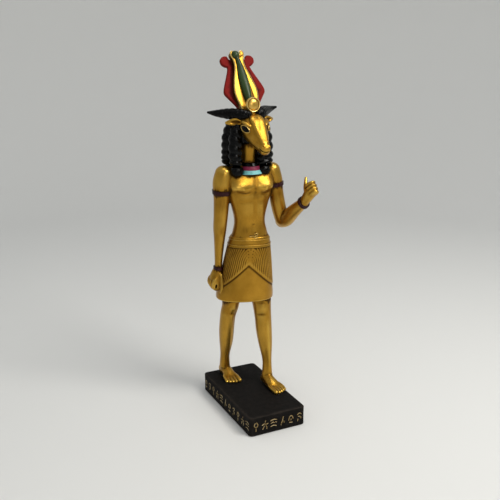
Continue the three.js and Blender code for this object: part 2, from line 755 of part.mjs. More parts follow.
/** A row of signs along a side that faces `azimuth` degrees from the front, `distance` from the centre. */
function signs(count, azimuth, distance, length) {
  const pitch = (length - 2 * SIGN_MARGIN) / (count - 1);
  const radius = 2 * SIGN_DEPTH;
  const widthAtFace = (2 * SIGN_DEPTH) / Math.sqrt(3);
  const strokes = [];
  for (let i = 0; i < count; i++) {
    for (const [across, up, size, lean] of SIGNS[i % SIGNS.length]) {
      const cut = new THREE.CylinderGeometry(radius, radius, size * SIGN_HEIGHT, 3);
      cut.scale(STROKE_WIDTH / widthAtFace, 1, 1);
      cut.rotateX(-Math.PI / 2); // one edge of the prism points into the stone
      cut.rotateY(degrees(lean));
      cut.translate(
        (i - (count - 1) / 2) * pitch + across * SIGN_HEIGHT,
        -distance - SIGN_DEPTH,
        PLINTH_HEIGHT / 2 + up * SIGN_HEIGHT,
      );
      cut.rotateZ(degrees(azimuth));
      strokes.push(solid(cut));
    }
  }
  return strokes;
}

function plinth() {
  const [w, l, r] = [PLINTH_WIDTH / 2 - EDGE_ROUNDING, PLINTH_LENGTH / 2 - EDGE_ROUNDING, CORNER_RADIUS];
  const shape = new THREE.Shape();
  shape.moveTo(w - r, -l);
  shape.absarc(w - r, -l + r, r, -Math.PI / 2, 0);
  shape.absarc(w - r, l - r, r, 0, Math.PI / 2);
  shape.absarc(-w + r, l - r, r, Math.PI / 2, Math.PI);
  shape.absarc(-w + r, -l + r, r, Math.PI, 1.5 * Math.PI);
  const geometry = new THREE.ExtrudeGeometry(shape, {
    depth: PLINTH_HEIGHT - 2 * EDGE_ROUNDING,
    bevelThickness: EDGE_ROUNDING,
    bevelSize: EDGE_ROUNDING,
    bevelSegments: 2,
    curveSegments: 3,
  });
  geometry.translate(0, 0, EDGE_ROUNDING);
  const strokes = [
    ...signs(SIGNS_FRONT, 0, PLINTH_LENGTH / 2, PLINTH_WIDTH),
    ...signs(SIGNS_SIDE, 90, PLINTH_WIDTH / 2, PLINTH_LENGTH),
    ...signs(SIGNS_SIDE, -90, PLINTH_WIDTH / 2, PLINTH_LENGTH),
  ];
  const mesh = new THREE.Mesh(geometryOf(solid(geometry).subtract(joined(strokes))), STONE_BLACK);
  mesh.name = "plinth";
  return mesh;
}

const figurine = new THREE.Group();
figurine.add(plinth(), figure());

export default figurine;
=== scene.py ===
# %% [markdown]
# # A cast resin figurine of a ram-headed god
# The real object is a souvenir: one casting in cold-cast resin, painted by hand in gold, black, red, green and
# turquoise, on a black plinth with a row of engraved signs. Nothing on it moves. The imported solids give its
# size and place, and this script makes the surfaces that the eye sees: one finely carved mesh for the figure
# and one for the plinth.

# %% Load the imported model
import math

import bmesh
import bpy
import numpy as np
from mathutils import Matrix, Vector, noise


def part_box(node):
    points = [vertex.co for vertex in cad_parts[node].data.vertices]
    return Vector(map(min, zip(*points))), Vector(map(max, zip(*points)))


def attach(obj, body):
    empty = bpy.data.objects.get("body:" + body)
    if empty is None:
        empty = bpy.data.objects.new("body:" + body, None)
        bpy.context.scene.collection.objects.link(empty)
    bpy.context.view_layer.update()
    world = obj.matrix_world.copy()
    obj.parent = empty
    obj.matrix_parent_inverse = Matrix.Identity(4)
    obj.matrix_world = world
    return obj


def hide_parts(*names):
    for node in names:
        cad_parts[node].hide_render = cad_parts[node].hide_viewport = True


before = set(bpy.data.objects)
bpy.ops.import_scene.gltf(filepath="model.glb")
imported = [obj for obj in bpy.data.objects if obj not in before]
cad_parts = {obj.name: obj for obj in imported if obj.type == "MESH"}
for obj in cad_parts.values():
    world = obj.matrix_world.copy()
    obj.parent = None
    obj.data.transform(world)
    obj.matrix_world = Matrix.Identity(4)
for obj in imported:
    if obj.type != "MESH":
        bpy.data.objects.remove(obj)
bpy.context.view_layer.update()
PLINTH_LOW, PLINTH_HIGH = [corner * 1000 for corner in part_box("plinth")]

# %% [markdown]
# ## Working in millimetres
# Shapes are made in millimetres, because Blender's remesher and booleans work best at sizes near one, and are
# brought to metres at the end. The figure is laid out on its own rule: the origin is on the plinth's top,
# under the body's axis, with +Z up and the face towards -Y.

# %% The figure's place
STAND = Vector((3, 10, PLINTH_HIGH.z))  # the body's axis on the plinth
MM = 0.001
X = np.array([1.0, 0, 0])
Y = np.array([0, 1.0, 0])
Z = np.array([0, 0, 1.0])
print("the figure stands at", tuple(round(c, 2) for c in STAND), "mm")

# %% [markdown]
# ## Shapes from stations
# Almost every part of a figure is a rounded form whose section changes along its length: a limb, a lock of
# hair, a horn. So one function skins a row of stations, each a centre with a half width and a half depth. It
# is a loft, which keeps the shape in a few numbers that can be read as sizes.


# %% Following a row of stations as a smooth curve
def follow(rows, t):
    """The rows followed as one smooth curve, at places t from 0 to the last row."""
    last = len(rows) - 1
    t = np.clip(np.asarray(t, float), 0, last)
    i = np.minimum(t.astype(int), last - 1)
    f = (t - i)[:, None]
    a, b, c, d = (rows[np.clip(i + k, 0, last)] for k in (-1, 0, 1, 2))
    return b + 0.5 * f * (c - a + f * (2 * a - 5 * b + 4 * c - d + f * (3 * (b - c) + d - a)))


def unit(v):
    return v / np.maximum(np.linalg.norm(v, axis=-1, keepdims=True), 1e-9)


# %% Skinning rings
def skin(rings, first, last):
    """A closed shape over rings of points (rings, sides, 3), with a point at each end."""
    count, sides, _ = rings.shape
    at = np.arange(count * sides).reshape(count, sides)
    nxt = np.roll(at, -1, axis=1)
    quads = np.stack([at[:-1], nxt[:-1], nxt[1:], at[1:]], axis=-1).reshape(-1, 4).tolist()
    low, high = count * sides, count * sides + 1
    quads += [[b, a, low] for a, b in zip(at[0], nxt[0])]
    quads += [[a, b, high] for a, b in zip(at[-1], nxt[-1])]
    return np.concatenate([rings.reshape(-1, 3), [first, last]]), quads


def form(stations, sides=40, steps=8, across=X, facing=None, power=2.0, domes=(0, 0), swell=None):
    """A rounded form through stations [x, y, z, half width, half depth, turn in degrees]."""
    rows = np.array([list(s) + [0] * (6 - len(s)) for s in stations], float)
    last = len(rows) - 1
    t = np.linspace(0, last, last * steps + 1)
    rows = follow(rows, t)
    centres = rows[:, :3]
    tangents = np.tile(facing, (len(t), 1)) if facing is not None else unit(np.gradient(centres, axis=0))
    size = np.ones(len(t))
    lift = np.radians(np.linspace(90, 0, 8)[1:-1])
    first, end = centres[0] - tangents[0] * domes[0], centres[-1] + tangents[-1] * domes[1]
    for start, height, order in ((True, domes[0], lift), (False, domes[1], lift[::-1])):
        if not height:
            continue
        k, way = (0, -1) if start else (-1, 1)
        cap = centres[k] + way * height * np.sin(order)[:, None] * tangents[k]
        join = (lambda a, b: np.concatenate([a, b])) if start else (lambda a, b: np.concatenate([b, a]))
        n = len(order)
        centres, size = join(cap, centres), join(np.cos(order), size)
        tangents, rows = join(np.tile(tangents[k], (n, 1)), tangents), join(np.tile(rows[k], (n, 1)), rows)
        t = join(np.full(n, t[k]), t)
    side = unit(across - tangents * (tangents @ across)[:, None])
    front = np.cross(tangents, side)
    angle = np.arange(sides) * 2 * math.pi / sides
    c, v = np.cos(angle), np.sin(angle)
    scale = size[:, None] * (swell(angle[None, :], t[:, None]) if swell else 1)
    w = rows[:, 3:4] * np.sign(c) * np.abs(c) ** (2 / power) * scale
    d = rows[:, 4:5] * np.sign(v) * np.abs(v) ** (2 / power) * scale
    turn = np.radians(rows[:, 5:6])
    along_side, along_front = w * np.cos(turn) - d * np.sin(turn), w * np.sin(turn) + d * np.cos(turn)
    rings = centres[:, None] + along_side[..., None] * side[:, None] + along_front[..., None] * front[:, None]
    return skin(rings, first, end)


# %% Eggs, tubes and plates
def turned(turns):
    """The rotation about X, then Y, then Z, in degrees."""
    whole = Matrix.Identity(3)
    for angle, axis in zip(turns, "XYZ"):
        whole = Matrix.Rotation(math.radians(angle), 3, axis) @ whole
    return np.array(whole)


def egg(centre, half, turns=(0, 0, 0), power=2.0, sides=32, basis=None):
    """An egg shape, squarer with a higher power, its third axis through its poles."""
    rise = np.linspace(-90, 90, sides // 2 + 1)[1:-1]
    c, v = np.cos(np.radians(rise)), np.sin(np.radians(rise))
    angle = np.arange(sides) * 2 * math.pi / sides
    radius, height = np.abs(c) ** (2 / power), np.sign(v) * np.abs(v) ** (2 / power)
    rings = np.stack(
        [
            radius[:, None] * np.cos(angle),
            radius[:, None] * np.sin(angle),
            np.repeat(height[:, None], sides, axis=1),
        ],
        axis=-1,
    )
    points, faces = skin(rings, [0, 0, -1], [0, 0, 1])
    rotation = turned(turns) if basis is None else basis
    return (points * np.array(half)) @ rotation.T + np.array(centre), faces


def tube(path, radius, sides=10, closed=False, normal=Z, twist=0, strands=0):
    """A round tube along a path, like a rope where it has strands."""
    path = np.array(path, float)
    count = len(path)
    if closed:
        tangents = unit(np.roll(path, -1, axis=0) - np.roll(path, 1, axis=0))
    else:
        tangents = unit(np.gradient(path, axis=0))
    side = unit(np.cross(tangents, normal))
    front = np.cross(side, tangents)
    angle = np.arange(sides) * 2 * math.pi / sides
    turn = np.linspace(0, 2 * math.pi * twist, count, endpoint=not closed)[:, None]
    radii = np.broadcast_to(np.asarray(radius, float), (count,))[:, None]
    if strands:
        radii = radii * (1 - 0.16 * (1 - np.abs(np.cos(strands / 2 * (angle - turn)))))
    else:
        radii = radii * np.ones(sides)
    rings = path[:, None] + radii[..., None] * (
        np.cos(angle)[None, :, None] * side[:, None] + np.sin(angle)[None, :, None] * front[:, None]
    )
    if not closed:
        return skin(rings, path[0], path[-1])
    at = np.arange(count * sides).reshape(count, sides)
    corners = [at, np.roll(at, -1, 1), np.roll(at, (-1, -1), (0, 1)), np.roll(at, -1, 0)]
    return rings.reshape(-1, 3), np.stack(corners, axis=-1).reshape(-1, 4).tolist()


def plate(outline, thickness, rounding, levels=4):
    """A plate with rounded edges from a closed outline (n, 2), standing in the X-Z plane, centred on Y."""
    ahead, behind = np.roll(outline, -1, axis=0), np.roll(outline, 1, axis=0)
    along = unit(ahead - behind)
    inward = np.stack([-along[:, 1], along[:, 0]], axis=-1)
    area = np.sum(outline[:, 0] * ahead[:, 1] - ahead[:, 0] * outline[:, 1])
    inward = inward if area > 0 else -inward
    a = np.radians(np.linspace(90, 0, levels))
    inset, depth = rounding * (1 - np.cos(a)), thickness / 2 - rounding + rounding * np.sin(a)
    inset, depth = np.concatenate([inset, inset[::-1]]), np.concatenate([depth, -depth[::-1]])
    flat = outline[None] + inset[:, None, None] * inward[None]
    rings = np.stack([flat[..., 0], np.repeat(-depth[:, None], len(outline), 1), flat[..., 1]], axis=-1)
    points, faces = skin(rings, [0, 0, 0], [0, 0, 0])
    n = len(outline)
    faces = [f for f in faces if len(f) == 4]
    last = (len(rings) - 1) * n
    return points[:-2], [*faces, list(range(n - 1, -1, -1)), list(range(last, last + n))]


def moved(shape, matrix):
    """A shape carried by a 4 x 4 matrix."""
    points, faces = shape
    m = np.array(matrix)
    return points @ m[:3, :3].T + m[:3, 3], faces


# %% [markdown]
# ## Finishes
# The real surfaces are paints on resin. Gold: an acrylic metal paint, satin, with a brown wash that stays in
# the hollows, which gives the carving its depth; the same brown also paints shade in corners and on surfaces
# turned from the light, and raised parts are painted lighter, partly as rubbed paint and partly as a painted
# highlight. Black: a gloss lacquer on wig and horns, and a flat black on the plinth. The crown has a flat red,
# a gloss dark green and a pale gold that is partly rubbed paint and partly painted highlight, and the collar
# has opaque turquoise and crimson. Each is a Principled material, and the brown reads two values stored on
# the mesh's points: how hollow the carving is there, and where more wash and painted shade were laid on.


# %% Colours and nodes
def linear(hex_colour):
    """An sRGB hex colour as Blender's linear RGBA."""
    parts = [int(hex_colour[i : i + 2], 16) / 255 for i in (1, 3, 5)]
    return (*[p / 12.92 if p <= 0.04045 else ((p + 0.055) / 1.055) ** 2.4 for p in parts], 1.0)


NOISE, MIX, MATH, MAP = "ShaderNodeTexNoise", "ShaderNodeMix", "ShaderNodeMath", "ShaderNodeMapRange"


def set_inputs(tree, node, inputs):
    """A node's inputs set to values, or linked from other nodes' outputs."""
    for key, value in inputs.items():
        if isinstance(value, bpy.types.NodeSocket):
            tree.links.new(value, node.inputs[key])
        else:
            node.inputs[key].default_value = value


def add_node(tree, kind, inputs, output=0, **settings):
    """One output of a new node with its settings and inputs."""
    node = tree.nodes.new(kind)
    for key, value in settings.items():
        setattr(node, key, value)
    set_inputs(tree, node, inputs)
    return node.outputs[output]


def new_finish(name):
    """An empty material, its nodes and its Principled shader."""
    material = bpy.data.materials.new(name)
    material.use_nodes = True
    return material, material.node_tree, material.node_tree.nodes["Principled BSDF"]


# %% Gold paint with a brown wash, painted shade and painted highlights
# Metal paint over resin: flakes in a clear binder, so it is a metal with a satin, slightly uneven surface.
# The brush left streaks about 3 mm long and under 1 mm wide, and the flakes show as a grain of 0.4 mm.
# The wash covers fully where the skin is as hollow as `pooling` says. The same brown is also painted
# shade: where ambient occlusion finds a corner or a gap between parts, and at the spots stored on the mesh.
# Raised skin is mixed towards the `edge` colour, partly as rubbed paint and partly as a painted highlight.
WASH_AND_SHADE_BROWN = "#3B2205"
GOLD_ROUGHNESS = 0.29


def gold_paint(name, light="#B2842B", deep="#9E7322", edge="#E3BC57", pooling=0.7):
    material, tree, shader = new_finish(name)
    place = add_node(tree, "ShaderNodeTexCoord", {}, "Object")
    hollow = add_node(tree, "ShaderNodeAttribute", {}, "Fac", attribute_name="hollow")
    painted = add_node(tree, "ShaderNodeAttribute", {}, "Fac", attribute_name="wash_and_shade")
    shade = add_node(tree, "ShaderNodeAmbientOcclusion", {"Distance": 0.007}, "AO", samples=8)
    stretched = add_node(tree, "ShaderNodeMapping", {"Vector": place, "Scale": (1.0, 1.0, 0.3)})
    cloud = add_node(tree, NOISE, {"Vector": place, "Scale": 90.0, "Detail": 3.0})
    brush = add_node(tree, NOISE, {"Vector": stretched, "Scale": 700.0, "Detail": 2.0})
    flakes = add_node(tree, NOISE, {"Vector": place, "Scale": 2500.0, "Detail": 1.0})
    patch = add_node(tree, MAP, {"Value": cloud, "From Min": 0.35, "From Max": 0.65})
    # Raised, convex skin gets the lighter edge colour: partly rubbed paint, partly a painted highlight.
    rubbed_and_highlit_edges = add_node(tree, MAP, {"Value": hollow, "From Min": -0.15, "From Max": -0.9, "To Max": 0.5})
    full_wash = {"From Min": 0.14 * pooling, "From Max": pooling, "To Max": 0.88}
    crevice = add_node(tree, MAP, {"Value": hollow, **full_wash})
    # Painted shade: the brown darkens what ambient occlusion finds in corners and in gaps between parts.
    corner = add_node(tree, MAP, {"Value": shade, "From Min": 0.65, "From Max": 0.15, "To Max": 0.6})
    brushed = add_node(tree, MAP, {"Value": brush, "From Min": 0.25, "From Max": 0.75, "To Min": 0.35})
    # The stored spots, streaked by the brush: partly wash, partly painted shade on surfaces turned from the
    # light.
    thin = add_node(tree, MATH, {0: painted, 1: brushed}, operation="MULTIPLY")
    dark = add_node(tree, MATH, {0: crevice, 1: corner}, operation="MAXIMUM")
    dark = add_node(tree, MATH, {0: dark, 1: thin}, operation="MAXIMUM")
    coat = add_node(tree, MIX, {0: patch, 6: linear(deep), 7: linear(light)}, 2, data_type="RGBA")
    lit = add_node(tree, MIX, {0: rubbed_and_highlit_edges, 6: coat, 7: linear(edge)}, 2, data_type="RGBA")
    wash_and_shade_colour = add_node(tree, MIX, {0: dark, 6: lit, 7: linear(WASH_AND_SHADE_BROWN)}, 2, data_type="RGBA")
    spread = {"To Min": GOLD_ROUGHNESS - 0.07, "To Max": GOLD_ROUGHNESS + 0.09}
    gloss = add_node(tree, MAP, {"Value": flakes, **spread})
    dull = add_node(tree, MATH, {0: dark, 1: 0.3, 2: gloss}, operation="MULTIPLY_ADD")
    grain = add_node(tree, MATH, {0: flakes, 1: brush}, operation="ADD")
    bump = add_node(tree, "ShaderNodeBump", {"Height": grain, "Strength": 0.12, "Distance": 0.0003})
    set_inputs(tree, shader, {"Base Color": wash_and_shade_colour, "Roughness": dull, "Normal": bump, "Metallic": 0.92})
    return material


# %% Plain paints
# A brushed paint is never one tone: it is thinner on edges and pools in hollows. Each one gets a cloud of two
# near tones, a darker tone in the hollows, and a fine tooth of 0.3 to 0.5 mm in its surface.
def brushed_paint(name, light, deep, roughness, specular=0.3, tooth=0.10, grain=2200.0, edge=None):
    material, tree, shader = new_finish(name)
    place = add_node(tree, "ShaderNodeTexCoord", {}, "Object")
    hollow = add_node(tree, "ShaderNodeAttribute", {}, "Fac", attribute_name="hollow")
    cloud = add_node(tree, NOISE, {"Vector": place, "Scale": 260.0, "Detail": 4.0})
    fine = add_node(tree, NOISE, {"Vector": place, "Scale": grain, "Detail": 2.0})
    tone = add_node(tree, MATH, {0: hollow, 1: -0.6, 2: cloud}, operation="MULTIPLY_ADD")
    spread = add_node(tree, MAP, {"Value": tone, "From Min": 0.3, "From Max": 0.7})
    colour = add_node(tree, MIX, {0: spread, 6: linear(deep), 7: linear(light)}, 2, data_type="RGBA")
    if edge:
        rub = add_node(tree, MAP, {"Value": tone, "From Min": 0.75, "From Max": 1.15, "To Max": 0.7})
        colour = add_node(tree, MIX, {0: rub, 6: colour, 7: linear(edge)}, 2, data_type="RGBA")
    sheen = add_node(tree, MAP, {"Value": fine, "To Min": roughness - 0.06, "To Max": roughness + 0.06})
    bump = add_node(tree, "ShaderNodeBump", {"Height": fine, "Strength": tooth, "Distance": 0.0004})
    look = {"Base Color": colour, "Roughness": sheen, "Normal": bump, "Specular IOR Level": specular}
    set_inputs(tree, shader, look)
    return material


FINISHES = {
    "gold": gold_paint("gold_metal_paint"),
    "pleats": gold_paint("gold_paint_with_washed_pleats", pooling=0.22),
    # A paler gold for the disc, lids, feather rims and knot: partly rubbed paint, partly a painted highlight.
    "rubbed_and_highlit_gold": gold_paint("rubbed_and_highlit_gold_paint", light="#D8AC4C", deep="#C29638", edge="#F4DC94"),
    "lacquer": brushed_paint("black_gloss_lacquer", "#020202", "#010101", 0.2, specular=0.13, tooth=0.08),
    "red": brushed_paint("flat_red_paint", "#761612", "#4A0B08", 0.75, 0.12, tooth=0.3, grain=1500.0),
    "green": brushed_paint("dark_green_lacquer", "#2A3C18", "#121C0A", 0.34),
    "crimson": brushed_paint("crimson_paint", "#7E1E40", "#480E24", 0.5),
    "turquoise": brushed_paint("turquoise_paint", "#82C4C6", "#488A8C", 0.5),
    "oxblood": brushed_paint("oxblood_lacquer", "#2A060A", "#100203", 0.34, specular=0.2),
}
FINISH_ORDER = list(FINISHES)
print("finishes:", ", ".join(FINISH_ORDER))

# %% [markdown]
# ## Making, smoothing and joining parts
# A sculptor works a figure up from lumps. Lofts that overlap are fused by a voxel remesh, which lays an even
# grid of small faces over the whole, and a light smoothing softens the seams as a thumb would. Crisp parts,
# such as the pleated cloth or the crown, are joined by a boolean afterwards, so their edges stay sharp.


# %% Parts as Blender objects
def part(name, shape, finish="gold"):
    """An object in millimetres, with every finish in its slots."""
    points, faces = shape
    mesh = bpy.data.meshes.new(name)
    mesh.from_pydata(points.tolist(), [], faces)
    work = bmesh.new()
    work.from_mesh(mesh)
    bmesh.ops.recalc_face_normals(work, faces=work.faces)
    work.to_mesh(mesh)
    work.free()
    made = bpy.data.objects.new(name, mesh)
    bpy.context.scene.collection.objects.link(made)
    paint(made, finish)
    return made


def paint(piece, finish):
    piece.data.materials.clear()
    for name in FINISH_ORDER:
        piece.data.materials.append(FINISHES[name])
    piece.data.polygons.foreach_set("material_index", [FINISH_ORDER.index(finish)] * len(piece.data.polygons))


def applied(piece, *modifiers):
    """The piece with modifiers, each (kind, settings), applied in turn."""
    for kind, settings in modifiers:
        modifier = piece.modifiers.new(kind.lower(), kind)
        for key, value in settings.items():
            setattr(modifier, key, value)
    graph = bpy.context.evaluated_depsgraph_get()
    mesh = bpy.data.meshes.new_from_object(piece.evaluated_get(graph), depsgraph=graph)
    piece.modifiers.clear()
    old, piece.data = piece.data, mesh
    bpy.data.meshes.remove(old)
    return piece


def removed(*pieces):
    for piece in pieces:
        mesh = piece.data
        bpy.data.objects.remove(piece)
        bpy.data.meshes.remove(mesh)


def joined(name, shapes, finish="gold"):
    """Several shapes in one object, not yet fused."""
    offsets = np.cumsum([0] + [len(points) for points, _ in shapes])
    points = np.concatenate([points for points, _ in shapes])
    faces = [[i + start for i in face] for (_, faces), start in zip(shapes, offsets) for face in faces]
    return part(name, (points, faces), finish)


def fused(name, shapes, voxel, smoothing):
    """Overlapping shapes as one smooth gold skin of even faces."""
    piece = joined(name, shapes)
    applied(piece, ("REMESH", {"mode": "VOXEL", "voxel_size": voxel, "adaptivity": 0.0}))
    applied(piece, ("SMOOTH", {"factor": 0.5, "iterations": smoothing}))
    paint(piece, "gold")
    return piece


def boolean(piece, other, operation):
    """Joins or cuts a piece by another, which is used up."""
    settings = {"operation": operation, "solver": "MANIFOLD", "object": other}
    applied(piece, ("BOOLEAN", settings))
    if not len(piece.data.polygons):
        raise RuntimeError(f"{operation} of {piece.name} and {other.name} failed")
    removed(other)
    return piece


def points_of(mesh):
    flat = np.empty(len(mesh.vertices) * 3)
    mesh.vertices.foreach_get("co", flat)
    return flat.reshape(-1, 3)


def normals_of(mesh):
    flat = np.empty(len(mesh.vertices) * 3)
    mesh.vertices.foreach_get("normal", flat)
    return flat.reshape(-1, 3)


def pressed(piece, spots):
    """Swells or dents the skin at spots: centre, three radii, height, and the direction it is seen from."""
    points, normals = points_of(piece.data), normals_of(piece.data)
    moves = np.zeros(len(points))
    for centre, radii, height, seen_from in spots:
        off = (points - np.array(centre)) / np.array(radii)
        facing = np.clip(normals @ unit(np.array(seen_from, float)) * 2, 0, 1)
        moves += height * np.exp(-np.sum(off**2, axis=1)) * facing
    piece.data.vertices.foreach_set("co", (points + normals * moves[:, None]).ravel())
    piece.data.update()
    return piece


# %% [markdown]
# ## The body
# The trunk, arms and legs are lofts whose stations were read from the photograph: the pose is the striding
# one of temple figures, left foot forward, with the right fist down and the left one raised. They are fused
# into one skin, and the breast, navel, knees and shins are pressed into it afterwards.

# %% Trunk and neck
PELVIS_TURN = -17
CHEST_TURN = -6
TRUNK = [
    [0.0, 2.0, 113, 15.8, 10.4, PELVIS_TURN],
    [0.3, 1.7, 121, 16.2, 10.4, PELVIS_TURN],
    [0.5, 1.3, 129.5, 13.6, 9.2, -14],
    [0.1, 1.0, 138, 12.1, 8.6, -10],
    [0, 0.9, 147, 13.6, 9.2, -8],
    [0, 0.8, 157.5, 16.7, 9.6, CHEST_TURN],
    [0, 1.1, 161.5, 17.8, 9.8, CHEST_TURN],
    [0, 1.3, 166.5, 19.0, 9.8, CHEST_TURN],
    [0, 1.9, 173, 20.4, 8.3, CHEST_TURN],
    [0, 2.4, 179, 17.5, 6.6, CHEST_TURN],
    [0, 2.8, 183, 9.0, 5.6, CHEST_TURN],
]
BREAST_ROW, BREAST_RISE, BREAST_ANGLE, BREAST_SPREAD = 6.7, 0.27, 33, 23


def breast(angle, t):
    """The swell of the two breasts, with a firm lower edge."""
    turn = np.degrees(angle) - 270
    rise = sum(np.exp(-(((turn - side * BREAST_ANGLE) / BREAST_SPREAD) ** 2)) for side in (-1, 1))
    spread = np.where(t < BREAST_ROW, 0.65, 1.2)
    return 1 + BREAST_RISE * rise * np.exp(-(((t - BREAST_ROW) / spread) ** 2))


trunk = form(TRUNK, sides=96, facing=Z, power=2.2, swell=breast)
neck = form([[-0.4, 2.6, 176, 6.6, 6.4], [-0.8, 2.0, 188, 5.8, 5.8], [-0.6, 1.0, 204, 6.6, 6.8]])
print("trunk points:", len(trunk[0]))

# %% Arms
RIGHT_ARM = [
    [-19.6, 4.4, 175.6, 6.9, 7.2],
    [-20.8, 4.8, 168, 7.6, 7.6],
    [-21.2, 5.8, 156, 6.2, 6.4],
    [-21.6, 6.8, 143, 5.6, 5.9],
    [-22.0, 7.8, 133, 5.2, 5.5],
    [-22.2, 8.6, 124, 4.3, 4.8],
    [-22.6, 9.6, 110, 3.2, 3.8],
    [-22.8, 10.2, 98, 2.8, 3.3],
]
LEFT_ARM = [
    [19.0, 0.4, 176.6, 6.4, 6.4],
    [20.7, -0.4, 168.6, 6.6, 6.8],
    [22.2, -1.0, 160, 5.6, 6.0],
    [23.4, -1.4, 152, 5.7, 6.1],
    [25.4, -1.8, 143, 5.6, 6.0],
    [27.4, -2.0, 136.2, 5.3, 5.8],
]
LEFT_FOREARM = [
    [28.4, 1.4, 134.8, 5.0, 5.6],
    [29.2, -6, 138.0, 5.8, 6.2],
    [29.8, -17, 146.2, 4.9, 5.3],
    [31.2, -30.6, 155.8, 3.4, 3.8],
]
arms = [
    form(RIGHT_ARM, domes=(6, 0)),
    form(LEFT_ARM, domes=(5.6, 4.2)),
    form(LEFT_FOREARM, domes=(4.2, 0)),
]
print("arms:", len(arms), "lofts")

# %% [markdown]
# A closed fist is four fingers side by side round a tunnel, where a staff would pass, with the palm behind
# them and the thumb along the front. Each finger is a squared egg, thick enough to sink into its neighbours,
# so that a groove is left between each two.


# %% Fists
def fist(centre, knuckles, thumb, half, finger, wrist, thumb_path):
    """The lofts of a fist, and the matrix of its own directions: sideways, to the knuckles, to the thumb."""
    n = unit(np.array(knuckles, float))
    t = np.array(thumb, float)
    t = unit(t - n * (t @ n))
    b = np.cross(t, n)
    basis = np.stack([b, n, t], axis=1)
    centre, wrist = np.array(centre), np.array(wrist)

    def place(x, y, z):
        return basis @ np.array([x, y, z]) + centre

    w, d = half
    shapes = []
    for i, share in enumerate((1, 1.04, 0.98, 0.88)):
        bead_half = (w * share, d * share, 0.58 * finger)
        shapes.append(egg(place(0, 0, (1.5 - i) * finger), bead_half, power=2.6, basis=basis))
    heel = place(0, d * 0.35, 0)
    shapes.append(
        form(
            [
                [*wrist, 3.4, 3.6],
                [*(wrist + (heel - wrist) * 0.55), w, finger * 1.8],
                [*heel, w * 0.8, finger * 1.8],
            ],
            across=b,
        )
    )
    shapes.append(form([[*place(x, y, z), r, q] for x, y, z, r, q in thumb_path], across=b, domes=(0, 1.2)))
    frame_matrix = np.eye(4)
    frame_matrix[:3, :3], frame_matrix[:3, 3] = basis, centre
    return shapes, frame_matrix


def tunnel_of(frame_matrix, bore, shift, finger):
    """The mouth of the fist's tunnel, on the thumb's side."""
    rod = form([[*shift, 1.4 * finger, *bore], [*shift, 3.8 * finger, *bore]], across=X, facing=Z)
    return moved(rod, frame_matrix)


def finger_grooves(frame_matrix, half, finger):
    """Spots that press the three grooves between the fingers."""
    spots = []
    for i in range(3):
        for a in np.radians(np.arange(-20, 201, 20)):
            place = frame_matrix @ [half[0] * math.cos(a), half[1] * math.sin(a), (1 - i) * finger, 1]
            out = frame_matrix[:3, :3] @ [math.cos(a), math.sin(a), 0]
            spots.append((place[:3], (0.85, 0.85, 0.85), -0.42, out))
    return spots


RIGHT_FIST = ((5.2, 6.2), 3.0)
LEFT_FIST = ((4.1, 5.1), 2.6)
right_fist, right_frame = fist(
    (-25.0, 12.2, 88.0),
    (-0.1, 0.1, -1),
    (0.05, -1, 0),
    *RIGHT_FIST,
    (-22.8, 10.2, 100),
    [[1.8, -8, 4.0, 1.9, 2.3], [2.6, -2, 6.2, 1.8, 2.1], [3.2, 3, 7.2, 1.7, 1.9], [3.0, 7, 6.8, 1.2, 1.4]],
)
left_fist, left_frame = fist(
    (33.4, -37.0, 166.0),
    (0.1, -1, 0.8),
    (-0.06, 0.4, 1),
    *LEFT_FIST,
    (31.1, -29.8, 155.3),
    [[-1.6, -6.0, -1.4, 1.8, 2.0], [-1.6, -4.4, 4, 1.7, 1.8], [0.8, -2.6, 11, 1.1, 1.2]],
)

# %% Legs and feet
RIGHT_LEG = [
    [-11.6, 9, 84, 9.0, 9.2],
    [-11.8, 11.4, 68, 6.8, 7.6],
    [-13.4, 13.2, 58, 6.2, 6.9],
    [-13.5, 15.6, 46, 6.1, 6.9],
    [-13.0, 18.2, 34, 5.6, 6.2],
    [-12.6, 21.6, 20, 4.0, 4.6],
    [-12.0, 24.2, 8, 4.2, 5.4],
]
LEFT_LEG = [
    [10.8, 3.4, 84, 9.0, 9.2],
    [11.0, 0.6, 68, 7.5, 7.8],
    [11.2, -1.2, 58, 6.8, 6.9],
    [11.7, -2.2, 46, 6.4, 6.9],
    [12.4, -3.6, 34, 5.4, 6.1],
    [13.0, -5.4, 20, 3.6, 4.4],
    [12.8, -6.2, 8, 4.1, 5.2],
]
TOES = [[4.7, 1.75, 21.8], [1.5, 1.22, 21.6], [-1.1, 1.16, 20.8], [-3.55, 1.12, 19.6], [-5.8, 1.02, 18.2]]
ARCH = [
    [0, 5.8, 3.2, 3.2, 3.6],
    [0, 1.0, 4.6, 4.1, 5.8],
    [0.2, -6, 3.4, 4.7, 4.8],
    [-0.1, -10.8, 2.0, 5.8, 3.2],
    [-0.3, -13.4, 1.4, 5.9, 2.1],
]


def foot(ankle, outward, inner):
    """A bare foot's lofts. `inner` is +1 where the great toe is on the figure's left."""
    shapes = [form([[inner * x, y, z, w, d] for x, y, z, w, d in ARCH], domes=(1.6, 1))]
    for across, radius, reach in TOES:
        x, tip = inner * across, -(reach - radius)
        shapes.append(
            form(
                [
                    [x * 0.88, -9, 2.9, radius, 1.5],
                    [x * 0.97, -14, 2.3, radius, radius * 1.1],
                    [x, tip, radius - 0.2, radius, radius * 1.04],
                ],
                sides=20,
                domes=(0, radius),
            )
        )
    matrix = Matrix.Translation(ankle) @ Matrix.Rotation(math.radians(outward), 4, "Z")
    return [moved(shape, matrix) for shape in shapes]


